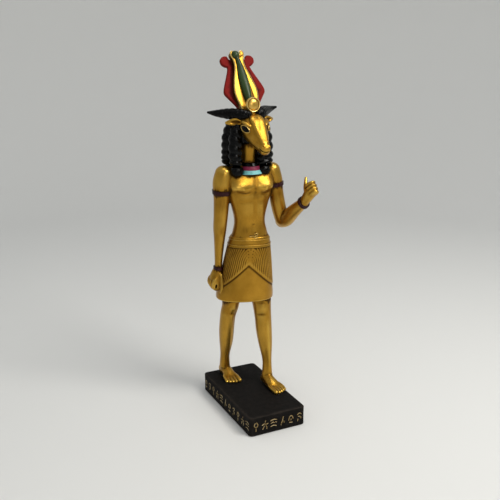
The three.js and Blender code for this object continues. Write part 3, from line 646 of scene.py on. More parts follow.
def toe_gaps(ankle, outward, inner):
    """Thin wedges between the toes, for cutting them apart."""
    gaps = []
    for (one, r_one, _), (two, r_two, _) in zip(TOES, TOES[1:]):
        x = inner * ((one - r_one) + (two + r_two)) / 2
        stations = [[x * 0.94, -13.6, 4.6, 0.2, 0.7], [x, -17.4, 2.8, 0.3, 1.5], [x, -23, 2.2, 0.42, 1.9]]
        gaps.append(form(stations, sides=12))
    matrix = Matrix.Translation(ankle) @ Matrix.Rotation(math.radians(outward), 4, "Z")
    return [moved(gap, matrix) for gap in gaps]


FEET = [((-11.4, 25.2, 0), 0, 1), ((12.4, -7.8, 0), 6, -1)]
legs = [form(RIGHT_LEG), form(LEFT_LEG), *foot(*FEET[0]), *foot(*FEET[1])]

# %% [markdown]
# The fused body is then modelled like clay: a gentle groove along the breastbone and belly, the navel, the
# collar bones, the knee caps and the shins. Each spot is a soft push along the skin's normal.

# %% The body in one skin
VOXEL = 0.55  # finer than the 0.8 mm that one pixel of the picture covers
SMOOTHING = 5  # rounds of smoothing
BODY_SHARE = 0.36  # the share of the even faces that is kept
body = fused("body", [trunk, neck, *arms, *right_fist, *left_fist, *legs], VOXEL, SMOOTHING)
FRONT, BACK, LEFT, RIGHT = (0, -1, 0), (0, 1, 0), (1, 0, 0), (-1, 0, 0)


def along_curve(points, radii, height, seen_from, count=9):
    """Spots laid evenly along a smooth curve, which press a groove or raise a ridge."""
    curve = follow(np.array(points, float), np.linspace(0, len(points) - 1, count))
    return [(place, radii, height, seen_from) for place in curve]


UNDER_BREASTS = [
    [[-15.6, -5, 164.6], [-11.6, -7, 161.6], [-7.4, -9, 160.7], [-3.4, -9, 161.9], [-0.6, -9, 164.6]],
    [[2.2, -9, 164.4], [5.0, -9, 161.7], [8.8, -9, 160.6], [12.6, -8, 161.6], [15.6, -7, 164.4]],
]
INNER_SHIN = [[-9.6, 4, 70], [-9.9, 7, 59], [-8.9, 10.6, 49], [-9.2, 14, 38], [-9.8, 18, 26], [-9.6, 20, 17]]
pressed(
    body,
    [
        *[spot for arc in UNDER_BREASTS for spot in along_curve(arc, (2.2, 5, 1.1), -0.28, FRONT)],
        *along_curve(INNER_SHIN, (1.5, 3, 3.4), -0.2, (0.5, -1, 0), 13),
        *along_curve([[-13.2, 6, 56], [-13.0, 12, 36], [-12.6, 16, 20]], (1.2, 6, 5), 0.18, (0.2, -1, 0)),
        *along_curve([[12.0, -9, 52], [12.4, -9, 36], [12.8, -9, 20]], (1.2, 6, 5), 0.18, FRONT),
        ((0.8, -9, 167.5), (1.9, 6, 5), -0.6, FRONT),
        ((0.8, -9, 161.4), (1.6, 6, 1.8), -0.4, FRONT),
        ((-9.2, -11, 164.2), (0.9, 4, 0.9), 0.5, FRONT),
        ((9.4, -12, 164.0), (0.9, 4, 0.9), 0.5, FRONT),
        ((0.6, -8, 148), (1.5, 6, 8), -0.3, FRONT),
        ((-5.6, -8, 146), (3.8, 6, 9), 0.3, FRONT),
        ((6.6, -8, 146), (3.8, 6, 9), 0.3, FRONT),
        ((-6.0, -8, 155), (5.0, 6, 2.2), -0.3, (-0.3, -1, 0)),
        ((7.0, -8, 155), (5.0, 6, 2.2), -0.3, (0.3, -1, 0)),
        ((-0.6, -8, 136.4), (1.3, 6, 1.6), -0.3, FRONT),
        ((1.0, -8, 131.2), (5.5, 6, 4), 0.3, FRONT),
        ((-8, -4, 178.6), (6, 4, 0.9), 0.35, (0, -1, 0.4)),
        ((8, -4, 178.6), (6, 4, 0.9), 0.35, (0, -1, 0.4)),
        ((0, 10, 152), (1.6, 6, 26), -0.8, BACK),
        ((-8.5, 9, 166), (5, 6, 6), 0.6, BACK),
        ((8.5, 9, 166), (5, 6, 6), 0.6, BACK),
        ((-12.6, 3.6, 65.6), (3.2, 5, 3.2), 0.6, (-0.1, -1, 0)),
        ((-12.6, 4, 71), (3.0, 5, 1.1), -0.2, (-0.1, -1, 0)),
        ((-12.8, 6, 60.6), (2.8, 5, 1.1), -0.25, (-0.1, -1, 0)),
        ((8.6, -7, 65.8), (3.0, 5, 3.0), 0.55, FRONT),
        ((7.6, -6, 70.6), (2.8, 5, 0.9), -0.35, FRONT),
        ((7.4, -6, 60.8), (2.6, 5, 0.9), -0.35, FRONT),
        ((-13.4, 24, 44), (5, 6, 9), 0.7, BACK),
        ((12.4, 6, 44), (5, 6, 9), 0.7, BACK),
        ((-16.8, 24.6, 7.4), (1.6, 2.2, 2.0), 0.6, LEFT),
        ((-8.0, 24.6, 8.4), (1.6, 2.2, 2.0), 0.6, LEFT),
        ((8.6, -6.6, 8.0), (1.6, 2.2, 2.0), 0.6, RIGHT),
        ((17.2, -6.6, 7.4), (1.6, 2.2, 2.0), 0.6, LEFT),
        ((-22.2, 3, 131), (2.2, 6, 3.4), -0.35, FRONT),
        ((-24, 14, 132), (3, 6, 4), 0.4, BACK),
        *finger_grooves(right_frame, *RIGHT_FIST),
        *finger_grooves(left_frame, *LEFT_FIST),
    ],
)
applied(body, ("DECIMATE", {"ratio": BODY_SHARE}))
paint(body, "gold")
boolean(body, part("right_tunnel", tunnel_of(right_frame, (0.9, 1.9), (-1.6, 1.6), 3.0)), "DIFFERENCE")
boolean(body, part("left_tunnel", tunnel_of(left_frame, (1.2, 1.5), (0, 0.6), 2.6)), "DIFFERENCE")
boolean(body, joined("toe_gaps", [gap for place in FEET for gap in toe_gaps(*place)]), "DIFFERENCE")
below = part("below", form([[0, 0, -20, 80, 80], [0, 0, 0, 80, 80]], sides=4, steps=1, facing=Z))
boolean(body, below, "DIFFERENCE")
print("body faces:", len(body.data.polygons))

# %% [markdown]
# ## The kilt
# On the real figure a plain cloth is wrapped at the front and a finely pleated one lies over it, parted in a
# peak. The cloth is one grid round the hips, and every point is pushed out by a height worked out from where
# it lies: the thickness of the upper cloth inside its edge, and the pleats, which bow round a centre below
# the belt and run upright at the sides. A grid with a height rule gives even, sharp pleats, where carving
# them one by one would not.

# %% The cloth's sections
KILT = np.array(
    [
        [-1.2, 7.8, 74.6, 23.0, 16.4, PELVIS_TURN],
        [-1.1, 7.4, 79, 22.8, 16.6, PELVIS_TURN],
        [-0.7, 5.6, 90, 20.8, 15.3, PELVIS_TURN],
        [-0.4, 3.8, 103, 19.0, 13.6, PELVIS_TURN],
        [0.1, 1.9, 119, 16.5, 10.8, PELVIS_TURN],
    ]
)
SECTION_POWER = 2.25
WRAP_THICKNESS = 0.55
APRON_PEAK = 105.6
APRON_SLOPE = math.radians(44)
SEAM_BACK = 9
PLEAT_SPACING = 1.75
PLEAT_DEPTH = 0.54
PLEAT_CENTRE = 105
PLEAT_BOW = 0.7
PLEAT_SPLAY = 0.12
HEM_ROUNDING = 0.8


def section(row, angle):
    """Points of a squared oval section and its outward directions in the plane."""
    w, d = row[3], row[4]
    c, v = np.cos(angle), np.sin(angle)
    p = 2 / SECTION_POWER
    local = np.stack([w * np.sign(c) * np.abs(c) ** p, d * np.sign(v) * np.abs(v) ** p], axis=-1)
    share = local / np.array([w, d])
    out = unit(np.sign(share) * np.abs(share) ** (SECTION_POWER - 1) / np.array([w, d]))
    turn = math.radians(row[5])
    rotate = np.array([[math.cos(turn), -math.sin(turn)], [math.sin(turn), math.cos(turn)]])
    return local @ rotate.T + np.array(row[:2]), out @ rotate.T


def even_angles(row, count):
    """Angles that part a section's outline into equal lengths, starting at the back."""
    fine = np.linspace(0.5 * math.pi, 2.5 * math.pi, 4001)
    outline, _ = section(row, fine)
    run = np.concatenate([[0], np.cumsum(np.linalg.norm(np.diff(outline, axis=0), axis=1))])
    return np.interp(np.arange(count) / count * run[-1], run, fine), run[-1]


# %% The pleated grid
def kilt():
    around, high = 350, 58
    rows = follow(KILT, np.linspace(0, len(KILT) - 1, high))
    angles, girth = even_angles(rows[high // 2], around)
    along = (np.arange(around) / around - 0.5) * girth
    origin, turn = KILT[2][:2], math.radians(PELVIS_TURN)
    straight = np.array([[math.cos(turn), -math.sin(turn)], [math.sin(turn), math.cos(turn)]])
    rings = []
    for row in rows:
        flat, out = section(row, angles)
        z = row[2]
        local = (flat - origin) @ straight
        edge = (z - APRON_PEAK + math.tan(APRON_SLOPE) * np.abs(local[:, 0])) * math.cos(APRON_SLOPE)
        inside = np.maximum(edge, local[:, 1] - SEAM_BACK)
        cover = np.clip(inside / 0.5 + 0.5, 0, 1)
        cover = cover * cover * (3 - 2 * cover)
        reach = np.sqrt(along**2 + (PLEAT_BOW * max(0, z - PLEAT_CENTRE)) ** 2)
        reach = reach - PLEAT_SPLAY * max(0, PLEAT_CENTRE - z)
        pleat = PLEAT_DEPTH * (np.abs(np.cos(math.pi * reach / PLEAT_SPACING)) ** 0.8 - 1)
        height = cover * (WRAP_THICKNESS + pleat * np.clip((inside - 0.5) / 0.8, 0, 1))
        rings.append(np.column_stack([flat + out * height[:, None], np.full(around, z)]))
    low, out = section(rows[0], angles)
    foot = []
    for a in np.radians([90, 60, 30]):
        inset = -HEM_ROUNDING * (1 - math.cos(a))
        height = rows[0][2] - HEM_ROUNDING * math.sin(a)
        foot.append(np.column_stack([low + out * inset, np.full(around, height)]))
    under = rows[0][:3] - [0, 0, HEM_ROUNDING]
    return skin(np.array(foot + rings), under, rows[-1][:3])


# %% [markdown]
# The belt is a flat band between two thin cords, tied in front with a small loop. Each cord is a tube whose
# section has three strands that turn as it goes, which is what a twisted cord is.

# %% Belt, cords and knot
BELT = np.array(
    [
        [0.15, 1.9, 118.2, 17.2, 11.5, PELVIS_TURN],
        [0.4, 1.6, 125.2, 15.6, 10.2, PELVIS_TURN],
        [0.4, 1.5, 126.6, 14.0, 8.9, PELVIS_TURN],
    ]
)
CORD_RADIUS = 0.48


def hoop_path(z, outward, count):
    share = (z - BELT[0][2]) / (BELT[1][2] - BELT[0][2])
    row = BELT[0] + share * (BELT[1] - BELT[0])
    angles, _ = even_angles(row, count)
    flat, out = section(row, angles)
    return np.column_stack([flat + out * outward, np.full(count, z)])


def on_belly(across, z, lift):
    """A place on the trunk's front, `across` from its middle, standing `lift` proud."""
    rows = np.array(TRUNK)
    row = np.array([np.interp(z, rows[:, 2], rows[:, k]) for k in range(6)])
    v = -row[4] * (1 - min(0.98, abs(across / row[3])) ** 2.2) ** (1 / 2.2) - lift
    turn = math.radians(row[5])
    x = across * math.cos(turn) - v * math.sin(turn) + row[0]
    y = across * math.sin(turn) + v * math.cos(turn) + row[1]
    return [x, y, z]


knot_turns = np.linspace(0, 2 * math.pi, 60)
knot_path = [
    on_belly(3.2 + 1.25 * math.sin(2 * a), 127.4 + 1.9 * math.sin(a), 0.3 + 0.2 * math.cos(a))
    for a in knot_turns[:-1]
]
tail_path = [on_belly(3.0 - 0.6 * k, 126.6 + 0.28 * k - 0.03 * k * k, 0.25) for k in range(9)]
cloth = [
    part("kilt", kilt(), "pleats"),
    part("belt", form(BELT, sides=110, steps=7, facing=Z, power=SECTION_POWER)),
    part("lower_cord", tube(hoop_path(120.0, 0.05, 260), CORD_RADIUS, 8, closed=True, twist=40, strands=3)),
    part("upper_cord", tube(hoop_path(124.0, 0.05, 260), CORD_RADIUS, 8, closed=True, twist=40, strands=3)),
    part("knot", tube(knot_path, 0.36, closed=True, normal=Y), "rubbed_and_highlit_gold"),
    part("knot_tail", tube(tail_path, 0.32, normal=Y), "rubbed_and_highlit_gold"),
]
print("cloth faces:", sum(len(p.data.polygons) for p in cloth))

# %% [markdown]
# ## The ram's head
# The head is a wedge from the brow to the muzzle. A flat bridge runs down the nose, the brows stand out over
# almond eyes, and the ears are cupped leaves below the horns. It leans a little to the figure's right, so all
# that sits on the skull is turned about the brow.

# %% Skull, bridge, brows and ears
HEAD_LEAN = -2.4
BROW = Vector((0, 0, 215))
LEAN = Matrix.Translation(BROW) @ Matrix.Rotation(math.radians(HEAD_LEAN), 4, "Y") @ Matrix.Translation(-BROW)
SKULL = [
    [0, 1.9, 215.2, 9.0, 6.0],
    [0, -3.0, 212.0, 9.9, 8.9],
    [0, -8.4, 207.7, 9.7, 9.1],
    [0, -11.5, 205.1, 8.9, 8.3],
    [0, -15.3, 201.9, 7.3, 7.0],
    [0, -18.9, 199.0, 5.6, 5.9],
    [0, -22.3, 196.3, 4.3, 5.0],
    [0, -24.3, 194.7, 3.8, 4.0],
]
BRIDGE = [
    [0, -6.6, 218.6, 3.8, 1.9],
    [0, -11.4, 216.4, 5.5, 1.9],
    [0, -15.6, 211.2, 5.2, 1.8],
    [0, -19.8, 205.4, 4.2, 1.7],
    [0, -23.8, 200.2, 3.3, 1.6],
]
EAR = [
    [7, -3.6, 214.8, 1.5, 1.9],
    [11, -2.8, 214.8, 1.9, 3.0],
    [15.4, -1.2, 214.7, 1.7, 2.6],
    [19.4, 0.8, 214.4, 0.7, 1.1],
]
FOREHEAD_CREASE = [[0.8, -11, 217.5], [-0.6, -14, 213.5], [-1.2, -17, 209.5]]
HEAD_VOXEL, HEAD_SHARE = 0.42, 0.5  # the remesher's grid in mm, and the share of faces kept
EYE_PITCH, EYE_YAW = 28, 28
EYE_HALF = (4.0, 2.0, 1.5)  # long way, upright, and out of the head
EYE_PLACE = (9.2, -11.7, 210.1)


def mirrored(stations, side):
    return [[side * row[0], *row[1:]] for row in stations]


def leaning(shape):
    return moved(shape, LEAN)


skull = [form(SKULL, sides=56, power=2.2, domes=(0, 2.4)), form(BRIDGE, sides=40, power=3.0, domes=(1, 1))]
for side in (-1, 1):
    skull.append(egg((side * 7.6, -10.4, 209.9), (2.6, 5.0, 3.4), (EYE_PITCH, 0, side * -EYE_YAW)))
    skull.append(egg((side * 7.7, -10.0, 213.9), (2.7, 5.4, 1.4), (24, 0, side * -22)))
    skull.append(egg((side * 1.8, -24.9, 197.6), (1.9, 2.2, 1.8), (40, 0, 0)))
    skull.append(form(mirrored(EAR, side), sides=32, across=Y, domes=(0, 0.8)))
head = fused("head", [leaning(shape) for shape in skull], HEAD_VOXEL, SMOOTHING)
pressed(
    head,
    [
        *[((side * 8.6, -15.0, 206.4), (2.4, 2.8, 1.8), -0.6, (side, -0.6, 0)) for side in (-1, 1)],
        *[((side * 9.6, -6.2, 209.0), (2, 2.4, 3.4), -0.4, (side, 0, 0)) for side in (-1, 1)],
        *[((side * 5.0, -20.2, 201.0), (1.8, 3.6, 1.8), -0.45, (side, -0.4, 0)) for side in (-1, 1)],
        *[((side * 4.4, -22.6, 194.6), (2, 2.6, 1.2), -0.3, (side, -0.4, 0)) for side in (-1, 1)],
        ((0, -26.0, 199.6), (2.6, 2.4, 1.8), 0.4, (0, -1, 0.6)),
        *along_curve(FOREHEAD_CREASE, (0.9, 1.6, 1.6), -0.3, (0, -1, 0.9)),
    ],
)
for side in (-1, 1):
    cup = egg((side * 14.2, -3.9, 214.7), (4.3, 1.7, 1.6), (0, side * 2, side * 14))
    boolean(head, part("ear_cup", leaning(cup)), "DIFFERENCE")
applied(head, ("DECIMATE", {"ratio": HEAD_SHARE}))
paint(head, "gold")
print("head faces:", len(head.data.polygons))

# %% Eyes with their lids
def eye(side):
    """The black eyeball as a pointed almond, and the lid round it."""
    yaw = Matrix.Rotation(math.radians(-side * EYE_YAW), 3, "Z")
    long_way = np.array(yaw @ Matrix.Rotation(math.radians(EYE_PITCH), 3, "X") @ Vector((0, -1, 0)))
    out = unit(np.array(yaw @ Vector((side, 0, 0.12))))
    up = np.cross(long_way, out)
    up = up if up[2] > 0 else -up
    centre = np.array([side * EYE_PLACE[0], *EYE_PLACE[1:]])
    length, tall, deep = EYE_HALF
    almond = []
    for s in np.linspace(-1, 1, 9):
        swell = (1 - s * s) ** 0.8 + 0.03
        almond.append([*(centre + long_way * length * s), tall * swell, deep * swell])
    lid = []
    for a in np.linspace(0, 2 * math.pi, 64, endpoint=False):
        rise = math.sin(a) * abs(math.sin(a)) ** 0.25
        lift = 0.45 + 0.55 * math.sin(a) ** 2
        lid.append(centre + long_way * (length + 0.2) * math.cos(a) + up * (tall + 0.2) * rise + out * lift)
    return form(almond, sides=24, steps=4, across=up), tube(lid, 0.3, sides=8, closed=True, normal=out)


mouth = egg((0, -25.2, 195.0), (6.5, 4.6, 0.6), (36, 0, 0))
boolean(head, part("mouth", leaning(mouth)), "DIFFERENCE")
for side in (-1, 1):
    nostril = egg((side * 2.7, -26.6, 198.0), (0.7, 1.5, 0.9), (50, 0, side * -25))
    boolean(head, part("nostril", leaning(nostril)), "DIFFERENCE")
eyes = []
for side in (-1, 1):
    ball, lid = eye(side)
    eyes += [part("lid", leaning(lid), "rubbed_and_highlit_gold"), part("eye", leaning(ball), "lacquer")]
print("eyes and lids:", len(eyes))

# %% [markdown]
# The horns run out sideways, as those of the oldest breed of Egyptian sheep did, with growth rings that are
# strongest near the root.

# %% Horns
HORN = [
    [3.4, -7.4, 219.2, 2.6, 3.4],
    [7.6, -3.6, 219.6, 4.0, 4.5],
    [14.6, 4.6, 220.4, 3.9, 4.2],
    [22.4, 10.6, 221.0, 2.5, 2.6],
    [28.6, 12, 222.0, 0.9, 0.9],
]
HORN_RINGS = 10
HORN_RING_DEPTH = 0.17


def ringed(angle, t):
    share = t / (len(HORN) - 1)
    dip = 1 - np.abs(np.sin(math.pi * HORN_RINGS * share + 0.9 * np.cos(angle))) ** 0.6
    return 1 - HORN_RING_DEPTH * dip * (1 - share) ** 0.6


horns = [
    part(
        "horn",
        leaning(form(mirrored(HORN, side), sides=26, steps=20, across=Y, domes=(1.6, 0.8), swell=ringed)),
        "lacquer",
    )
    for side in (-1, 1)
]

# %% [markdown]
# ## The wig
# The wig hangs in thick locks, each a stack of slanted rolls like a twisted rope, and the two in front end
# in a round curl. The rolls are a swell of the loft: a rounded bump, then a sharp dip, tilted by adding
# the angle round the lock to the distance along it. Finer grooves in each roll are the strands of hair.

# %% Locks of hair
ROLL_PITCH = 4.7
ROLL_DIP = 0.24
STRAND_DIP = 0.04
LAPPET = [
    [10.4, -0.4, 212, 4.2, 4.2],
    [12.6, -1.2, 203, 5.2, 5.2],
    [13.0, -2.0, 190, 5.4, 5.2],
    [12.7, -2.8, 182.0, 4.9, 4.7],
]
CURL = ((12.4, -3.2, 177.6), (5.2, 5.0, 4.5))
SIDE_LOCK = [
    [12.4, 6.4, 212, 4.2, 4.2],
    [14.6, 7.4, 203, 4.8, 4.8],
    [15.0, 7.8, 192, 4.8, 4.8],
    [15.0, 8.2, 184.5, 4.6, 4.6],
]
FULLER = 2.2  # how much the left front lock is fuller, towards the middle
BACK_LOCKS = 3
BACK_SPREAD = 84


def lock(stations, slant, dome=3.4):
    last = len(stations) - 1
    rolls = round((stations[0][2] - stations[-1][2]) / ROLL_PITCH)

    def rolled(angle, t):
        along = rolls * t / last + slant * np.cos(angle)
        bump = np.abs(np.sin(math.pi * along)) ** 0.75
        strands = np.abs(np.sin(4 * math.pi * along))
        return 1.04 - ROLL_DIP * (1 - bump) - STRAND_DIP * (1 - strands) * bump

    return form(stations, sides=24, steps=round(8 * rolls / last), domes=(0, dome), swell=rolled)


def curl(side):
    """The round curl that ends a front lock, grooved by its strands."""
    centre, half = CURL
    points, faces = egg((0, 0, 0), (1, 1, 1), sides=48)
    height = points[:, 2] + 0.35 * side * points[:, 0]
    groove = 1 - np.abs(np.sin(2.6 * math.pi * height)) ** 0.7
    points = points * (1.02 - 0.05 * groove[:, None])
    place = [side * centre[0] - FULLER * (side > 0), *centre[1:]]
    return points * np.array(half) + np.array(place), faces


hair = []
for side in (-1, 1):
    front = [[x - FULLER * (side > 0), y, z, w + FULLER * (side > 0), d] for x, y, z, w, d in LAPPET]
    hair.append(part("lappet", lock(mirrored(front, side), side * 0.32, 0), "lacquer"))
    hair.append(part("curl", curl(side), "lacquer"))
    hair.append(part("side_lock", lock(mirrored(SIDE_LOCK, side), side * 0.32), "lacquer"))
for i in range(BACK_LOCKS):
    a = math.radians(BACK_SPREAD * (i / (BACK_LOCKS - 1) - 0.5))
    x, y = 13.6 * math.sin(a), 5.4 + 11.2 * math.cos(a)
    stations = [
        [x * 0.85, y - 2.2, 211, 5.2, 4.4],
        [x, y, 201, 6.0, 5.0],
        [x, y, 189, 6.0, 5.0],
        [x, y - 0.6, 177.5, 5.6, 4.6],
    ]
    hair.append(part("back_lock", lock(stations, 0.2), "lacquer"))


def combed(angle, t):
    return 1 - 0.035 * (1 - np.abs(np.cos(11 * angle)) ** 0.6)


cap = form(
    [[0, 5.4, 200, 13.4, 12.8], [0, 5.4, 208, 13.8, 13.2], [0, 5.4, 213, 12.4, 11.8]],
    sides=132,
    domes=(4, 7.2),
    swell=combed,
)
fill = form([[0, 8.8, 182, 12.4, 6.4], [0, 8.6, 196, 13.0, 7.6], [0, 8.2, 210, 12.6, 8.6]])
hair += [part("cap", cap, "lacquer"), part("fill", fill, "lacquer")]
print("locks and cap:", len(hair), "faces", sum(len(p.data.polygons) for p in hair))

# %% [markdown]
# ## Collar and bands
# Three painted rings lie between the front locks: black at the throat, crimson, then turquoise. Each is a
# cone with a soft lower edge. The arm bands and bracelets are narrow hoops that stand a little proud.

# %% Collar
COLLAR = [[175.2, 10.8, 11.6], [178.0, 9.2, 10.0], [180.9, 8.2, 8.9], [183.4, 7.2, 7.6]]


def collar_ring(low, high):
    z0, w0, d0 = low
    z1, w1, d1 = high
    stations = [[0, 2.2, z0, w0, d0], [0, 2.25, z0 + 0.5, w0 - 0.1, d0], [0, 2.4, z1, w1 + 0.2, d1 + 0.2]]
    return form(stations, sides=96, steps=4, facing=Z, domes=(0.4, 0.3))


collar = [
    part("collar_ring", collar_ring(low, high), finish)
    for low, high, finish in zip(COLLAR, COLLAR[1:], ("turquoise", "crimson", "lacquer"))
]

# %% Arm bands and bracelets
def band(stations, start, stop, proud):
    rows = follow(np.array(stations, float), np.linspace(start, stop, 3))
    rows[:, 3:5] += proud
    return form(rows.tolist(), sides=40, steps=3, domes=(0.35, 0.35))


bands = [
    part("band", band(stations, start, stop, proud), "oxblood")
    for stations, start, stop, proud in (
        (RIGHT_ARM, 1.47, 1.71, 0.7),
        (LEFT_ARM, 1.26, 1.56, 0.7),
        (RIGHT_ARM, 6.66, 6.88, 1.1),
        (LEFT_FOREARM, 2.76, 2.92, 1.1),
    )
]
print("bands:", len(bands))

# %% [markdown]
# ## The crown
# Two flat red plumes curl outward at the top, and before them stand two gold feathers with raised rims and a
# green pin with a knob, all leaning back. A plate needs only its outline, so each is drawn as a smooth curve
# through a few points of one side and mirrored.

# %% Plumes and feathers
CROWN_TILT = -27
CROWN_FOOT = Vector((0, 2.6, 220.4))
CROWN = LEAN @ Matrix.Translation(CROWN_FOOT) @ Matrix.Rotation(math.radians(CROWN_TILT), 4, "X")
PLUME_THICKNESS = 3.2
PLUME_EDGE = [[6.0, -1], [9.8, 6], [14.2, 12], [16.6, 15.8], [16.0, 20], [12.9, 27], [9.8, 34], [9.2, 36.8]]
PLUME_EDGE += [[11.0, 37.5], [13.4, 39.5], [13.7, 43.0], [11.5, 45.3], [8.0, 45.3], [5.6, 42.4]]
FEATHER_EDGE = [[5.2, -1], [7.8, 6], [9.2, 12], [9.1, 17], [7.8, 22.5], [6.0, 28.6], [4.3, 34]]
FEATHER_EDGE += [[3.9, 39.4], [5.0, 42.8], [5.5, 45.2], [4.6, 47.1], [3.0, 46.8], [2.0, 44.2]]
OUTLINE_POINTS = 240
FEATHER_FRONT = 3.2
PLUME_SHIFT = 1.2


def whole_outline(edge):
    """A smooth closed outline through the points of one side and their mirror images."""
    edge = np.array(edge, float)
    ring = np.concatenate([edge, (edge * [-1, 1])[::-1]])
    wrapped = np.concatenate([ring[-2:], ring, ring[:3]])
    return follow(wrapped, 2 + np.arange(OUTLINE_POINTS) / OUTLINE_POINTS * len(ring))


plumes = plate(whole_outline(PLUME_EDGE), PLUME_THICKNESS, 0.8)
feather_outline = whole_outline(FEATHER_EDGE)
feathers = plate(feather_outline, 4.4, 0.5)
rim_path = np.column_stack([feather_outline[:, 0] * 0.95, np.full(OUTLINE_POINTS, -2.1), feather_outline[:, 1]])
rim = tube(rim_path, 0.55, sides=8, closed=True, normal=Y)
set_forward = Matrix.Translation((0, -FEATHER_FRONT, 0))
pin = form(
    [
        [0, -5.6, 1, 1.6, 1.8],
        [0, -6.2, 9, 2.6, 2.8],
        [0, -6.2, 15, 3.4, 3.2],
        [0, -5.8, 22, 3.8, 3.2],
        [0, -5.4, 29, 3.5, 2.8],
        [0, -5.2, 35, 2.7, 2.4],
        [-0.5, -5.2, 39.5, 2.0, 2.0],
        [-1.2, -5.2, 43, 1.7, 1.8],
    ],
    steps=6,
)
knob = egg((-1.4, -5.2, 44.3), (3.2, 2.8, 3.2))
crown = [
    part("plumes", moved(plumes, CROWN @ Matrix.Translation((PLUME_SHIFT, 0, 0))), "red"),
    part("feathers", moved(feathers, CROWN @ set_forward), "gold"),
    part("feather_rim", moved(rim, CROWN @ set_forward), "rubbed_and_highlit_gold"),
    part("pin", moved(pin, CROWN), "green"),
    part("knob", moved(knob, CROWN), "green"),
]

# %% Sun disc
DISC_CENTRE = (0, -6.4, 226.8)
DISC_PITCH = 4
DISC_PROFILE = [[5.2, -1.3], [5.5, -0.8], [5.6, 0], [5.5, 0.9]]
DISC_PROFILE += [[5.15, 1.35], [4.75, 1.2], [4.5, 0.6], [4.3, 0.5]]
DOME_RADIUS, DOME_HEIGHT = 4.3, 2.0


def lathe(profile, centre, pitch, sides=72):
    """A profile of [radius, height] pairs turned about an axis that looks forward, `pitch` degrees up."""
    a = math.radians(pitch)
    axis = np.array([0, -math.cos(a), math.sin(a)])
    up = np.array([0, math.sin(a), math.cos(a)])
    angle = np.arange(sides) * 2 * math.pi / sides
    spokes = np.cos(angle)[:, None] * X + np.sin(angle)[:, None] * up
    rings = np.array([spokes * r + axis * h for r, h in profile]) + np.array(centre)
    first, last = (axis * profile[k][1] + np.array(centre) for k in (0, -1))
    return skin(rings, first, last)


dome = [
    [DOME_RADIUS * math.cos(a), 0.5 + DOME_HEIGHT * math.sin(a)] for a in np.radians(np.linspace(8, 84, 9))
]
stem = form([[0, -4.4, 217, 3.4, 3.2], [0, -5.2, 222, 2.6, 2.2], [0, -5.4, 226, 2.4, 1.2]])
crown += [
    part("disc", leaning(lathe(DISC_PROFILE + dome, DISC_CENTRE, DISC_PITCH)), "rubbed_and_highlit_gold"),
    part("stem", leaning(stem), "gold"),
]
print("crown parts:", len(crown))

# %% [markdown]
# ## One casting
# The real figurine came out of one mould, so the parts are joined into one closed skin. The boolean keeps
# each part's finish on its own faces.

# %% Joining the parts
figure = body
for piece in [*cloth, head, *eyes, *horns, *hair, *collar, *bands, *crown]:
    boolean(figure, piece, "UNION")
figure.name = "painted_figure"
figure.data.name = "painted_figure"
print("figure triangles:", sum(len(p.vertices) - 2 for p in figure.data.polygons))

# %% [markdown]
# The brown wash is thin paint that was brushed on and wiped off, so it stays where the skin is hollow. How
# hollow it is comes from comparing each point with the average of its neighbours, taken over a few rounds.
# A few soft spots add more brown on the belly, the knees, the inner shins, the kilt's right side, both
# upper arms and the right fist: partly wash left there, and partly painted shade on surfaces turned from the
# light.


# %% Hollows, wash and painted shade
def neighbours_mean(values, edges, degree):
    total = np.zeros_like(values)
    for k in range(values.shape[1]):
        total[:, k] = np.bincount(edges[:, 0], values[edges[:, 1], k], len(values))
        total[:, k] += np.bincount(edges[:, 1], values[edges[:, 0], k], len(values))
    return total / degree


def hollows(mesh, rounds):
    """How far each point lies below its smoothed surroundings, in the mesh's units."""
    points, normals = points_of(mesh), normals_of(mesh)
    edges = np.empty(len(mesh.edges) * 2, int)
    mesh.edges.foreach_get("vertices", edges)
    edges = edges.reshape(-1, 2)
    degree = np.maximum(np.bincount(edges.ravel(), minlength=len(points)), 1)[:, None]
    smooth = points
    for _ in range(rounds):
        smooth = neighbours_mean(smooth, edges, degree)
    depth = np.einsum("ij,ij->i", smooth - points, normals)[:, None]
    for _ in range(2):
        depth = 0.5 * depth + 0.5 * neighbours_mean(depth, edges, degree)
    return depth[:, 0]


# Soft spots of brown (centre, radii, strength): partly wash, partly painted shade on the shins, arms, kilt side
# and fist.
WASH_AND_SHADE_SPOTS = [
    ((-6, -8, 132), (5, 6, 3.4), 0.55),
    ((-1, -8, 128), (7, 6, 2.2), 0.4),
    ((0, -8, 158), (12, 6, 2.4), 0.3),
    ((7.6, -7, 70.6), (3.2, 5, 1.3), 0.9),
    ((7.2, -7, 61), (2.8, 5, 1.3), 0.9),
    ((-9.8, 6, 62), (1.6, 5, 9), 0.8),
    ((-9.0, 12, 44), (1.6, 6, 10), 0.85),
    ((-9.8, 18, 25), (1.6, 6, 9), 0.7),
    ((-15, -2, 114), (6, 7, 5), 0.6),
    ((-19, 4, 100), (4, 8, 14), 0.7),
    ((-22, 4, 130), (5, 6, 5), 0.4),
    ((-23, 0, 152), (3.5, 8, 12), 0.45),
    ((21, -6, 155), (3.5, 5, 9), 0.35),
    ((-24, 8, 88), (6, 8, 8), 0.3),
]


HOLLOW_ROUNDS, FULL_HOLLOW = 7, 0.3  # rounds of averaging, and the depth in mm that counts as fully hollow


def store(mesh, name, values):
    layer = mesh.attributes.new(name, "FLOAT", "POINT")
    layer.data.foreach_set("value", np.asarray(values, np.float32))


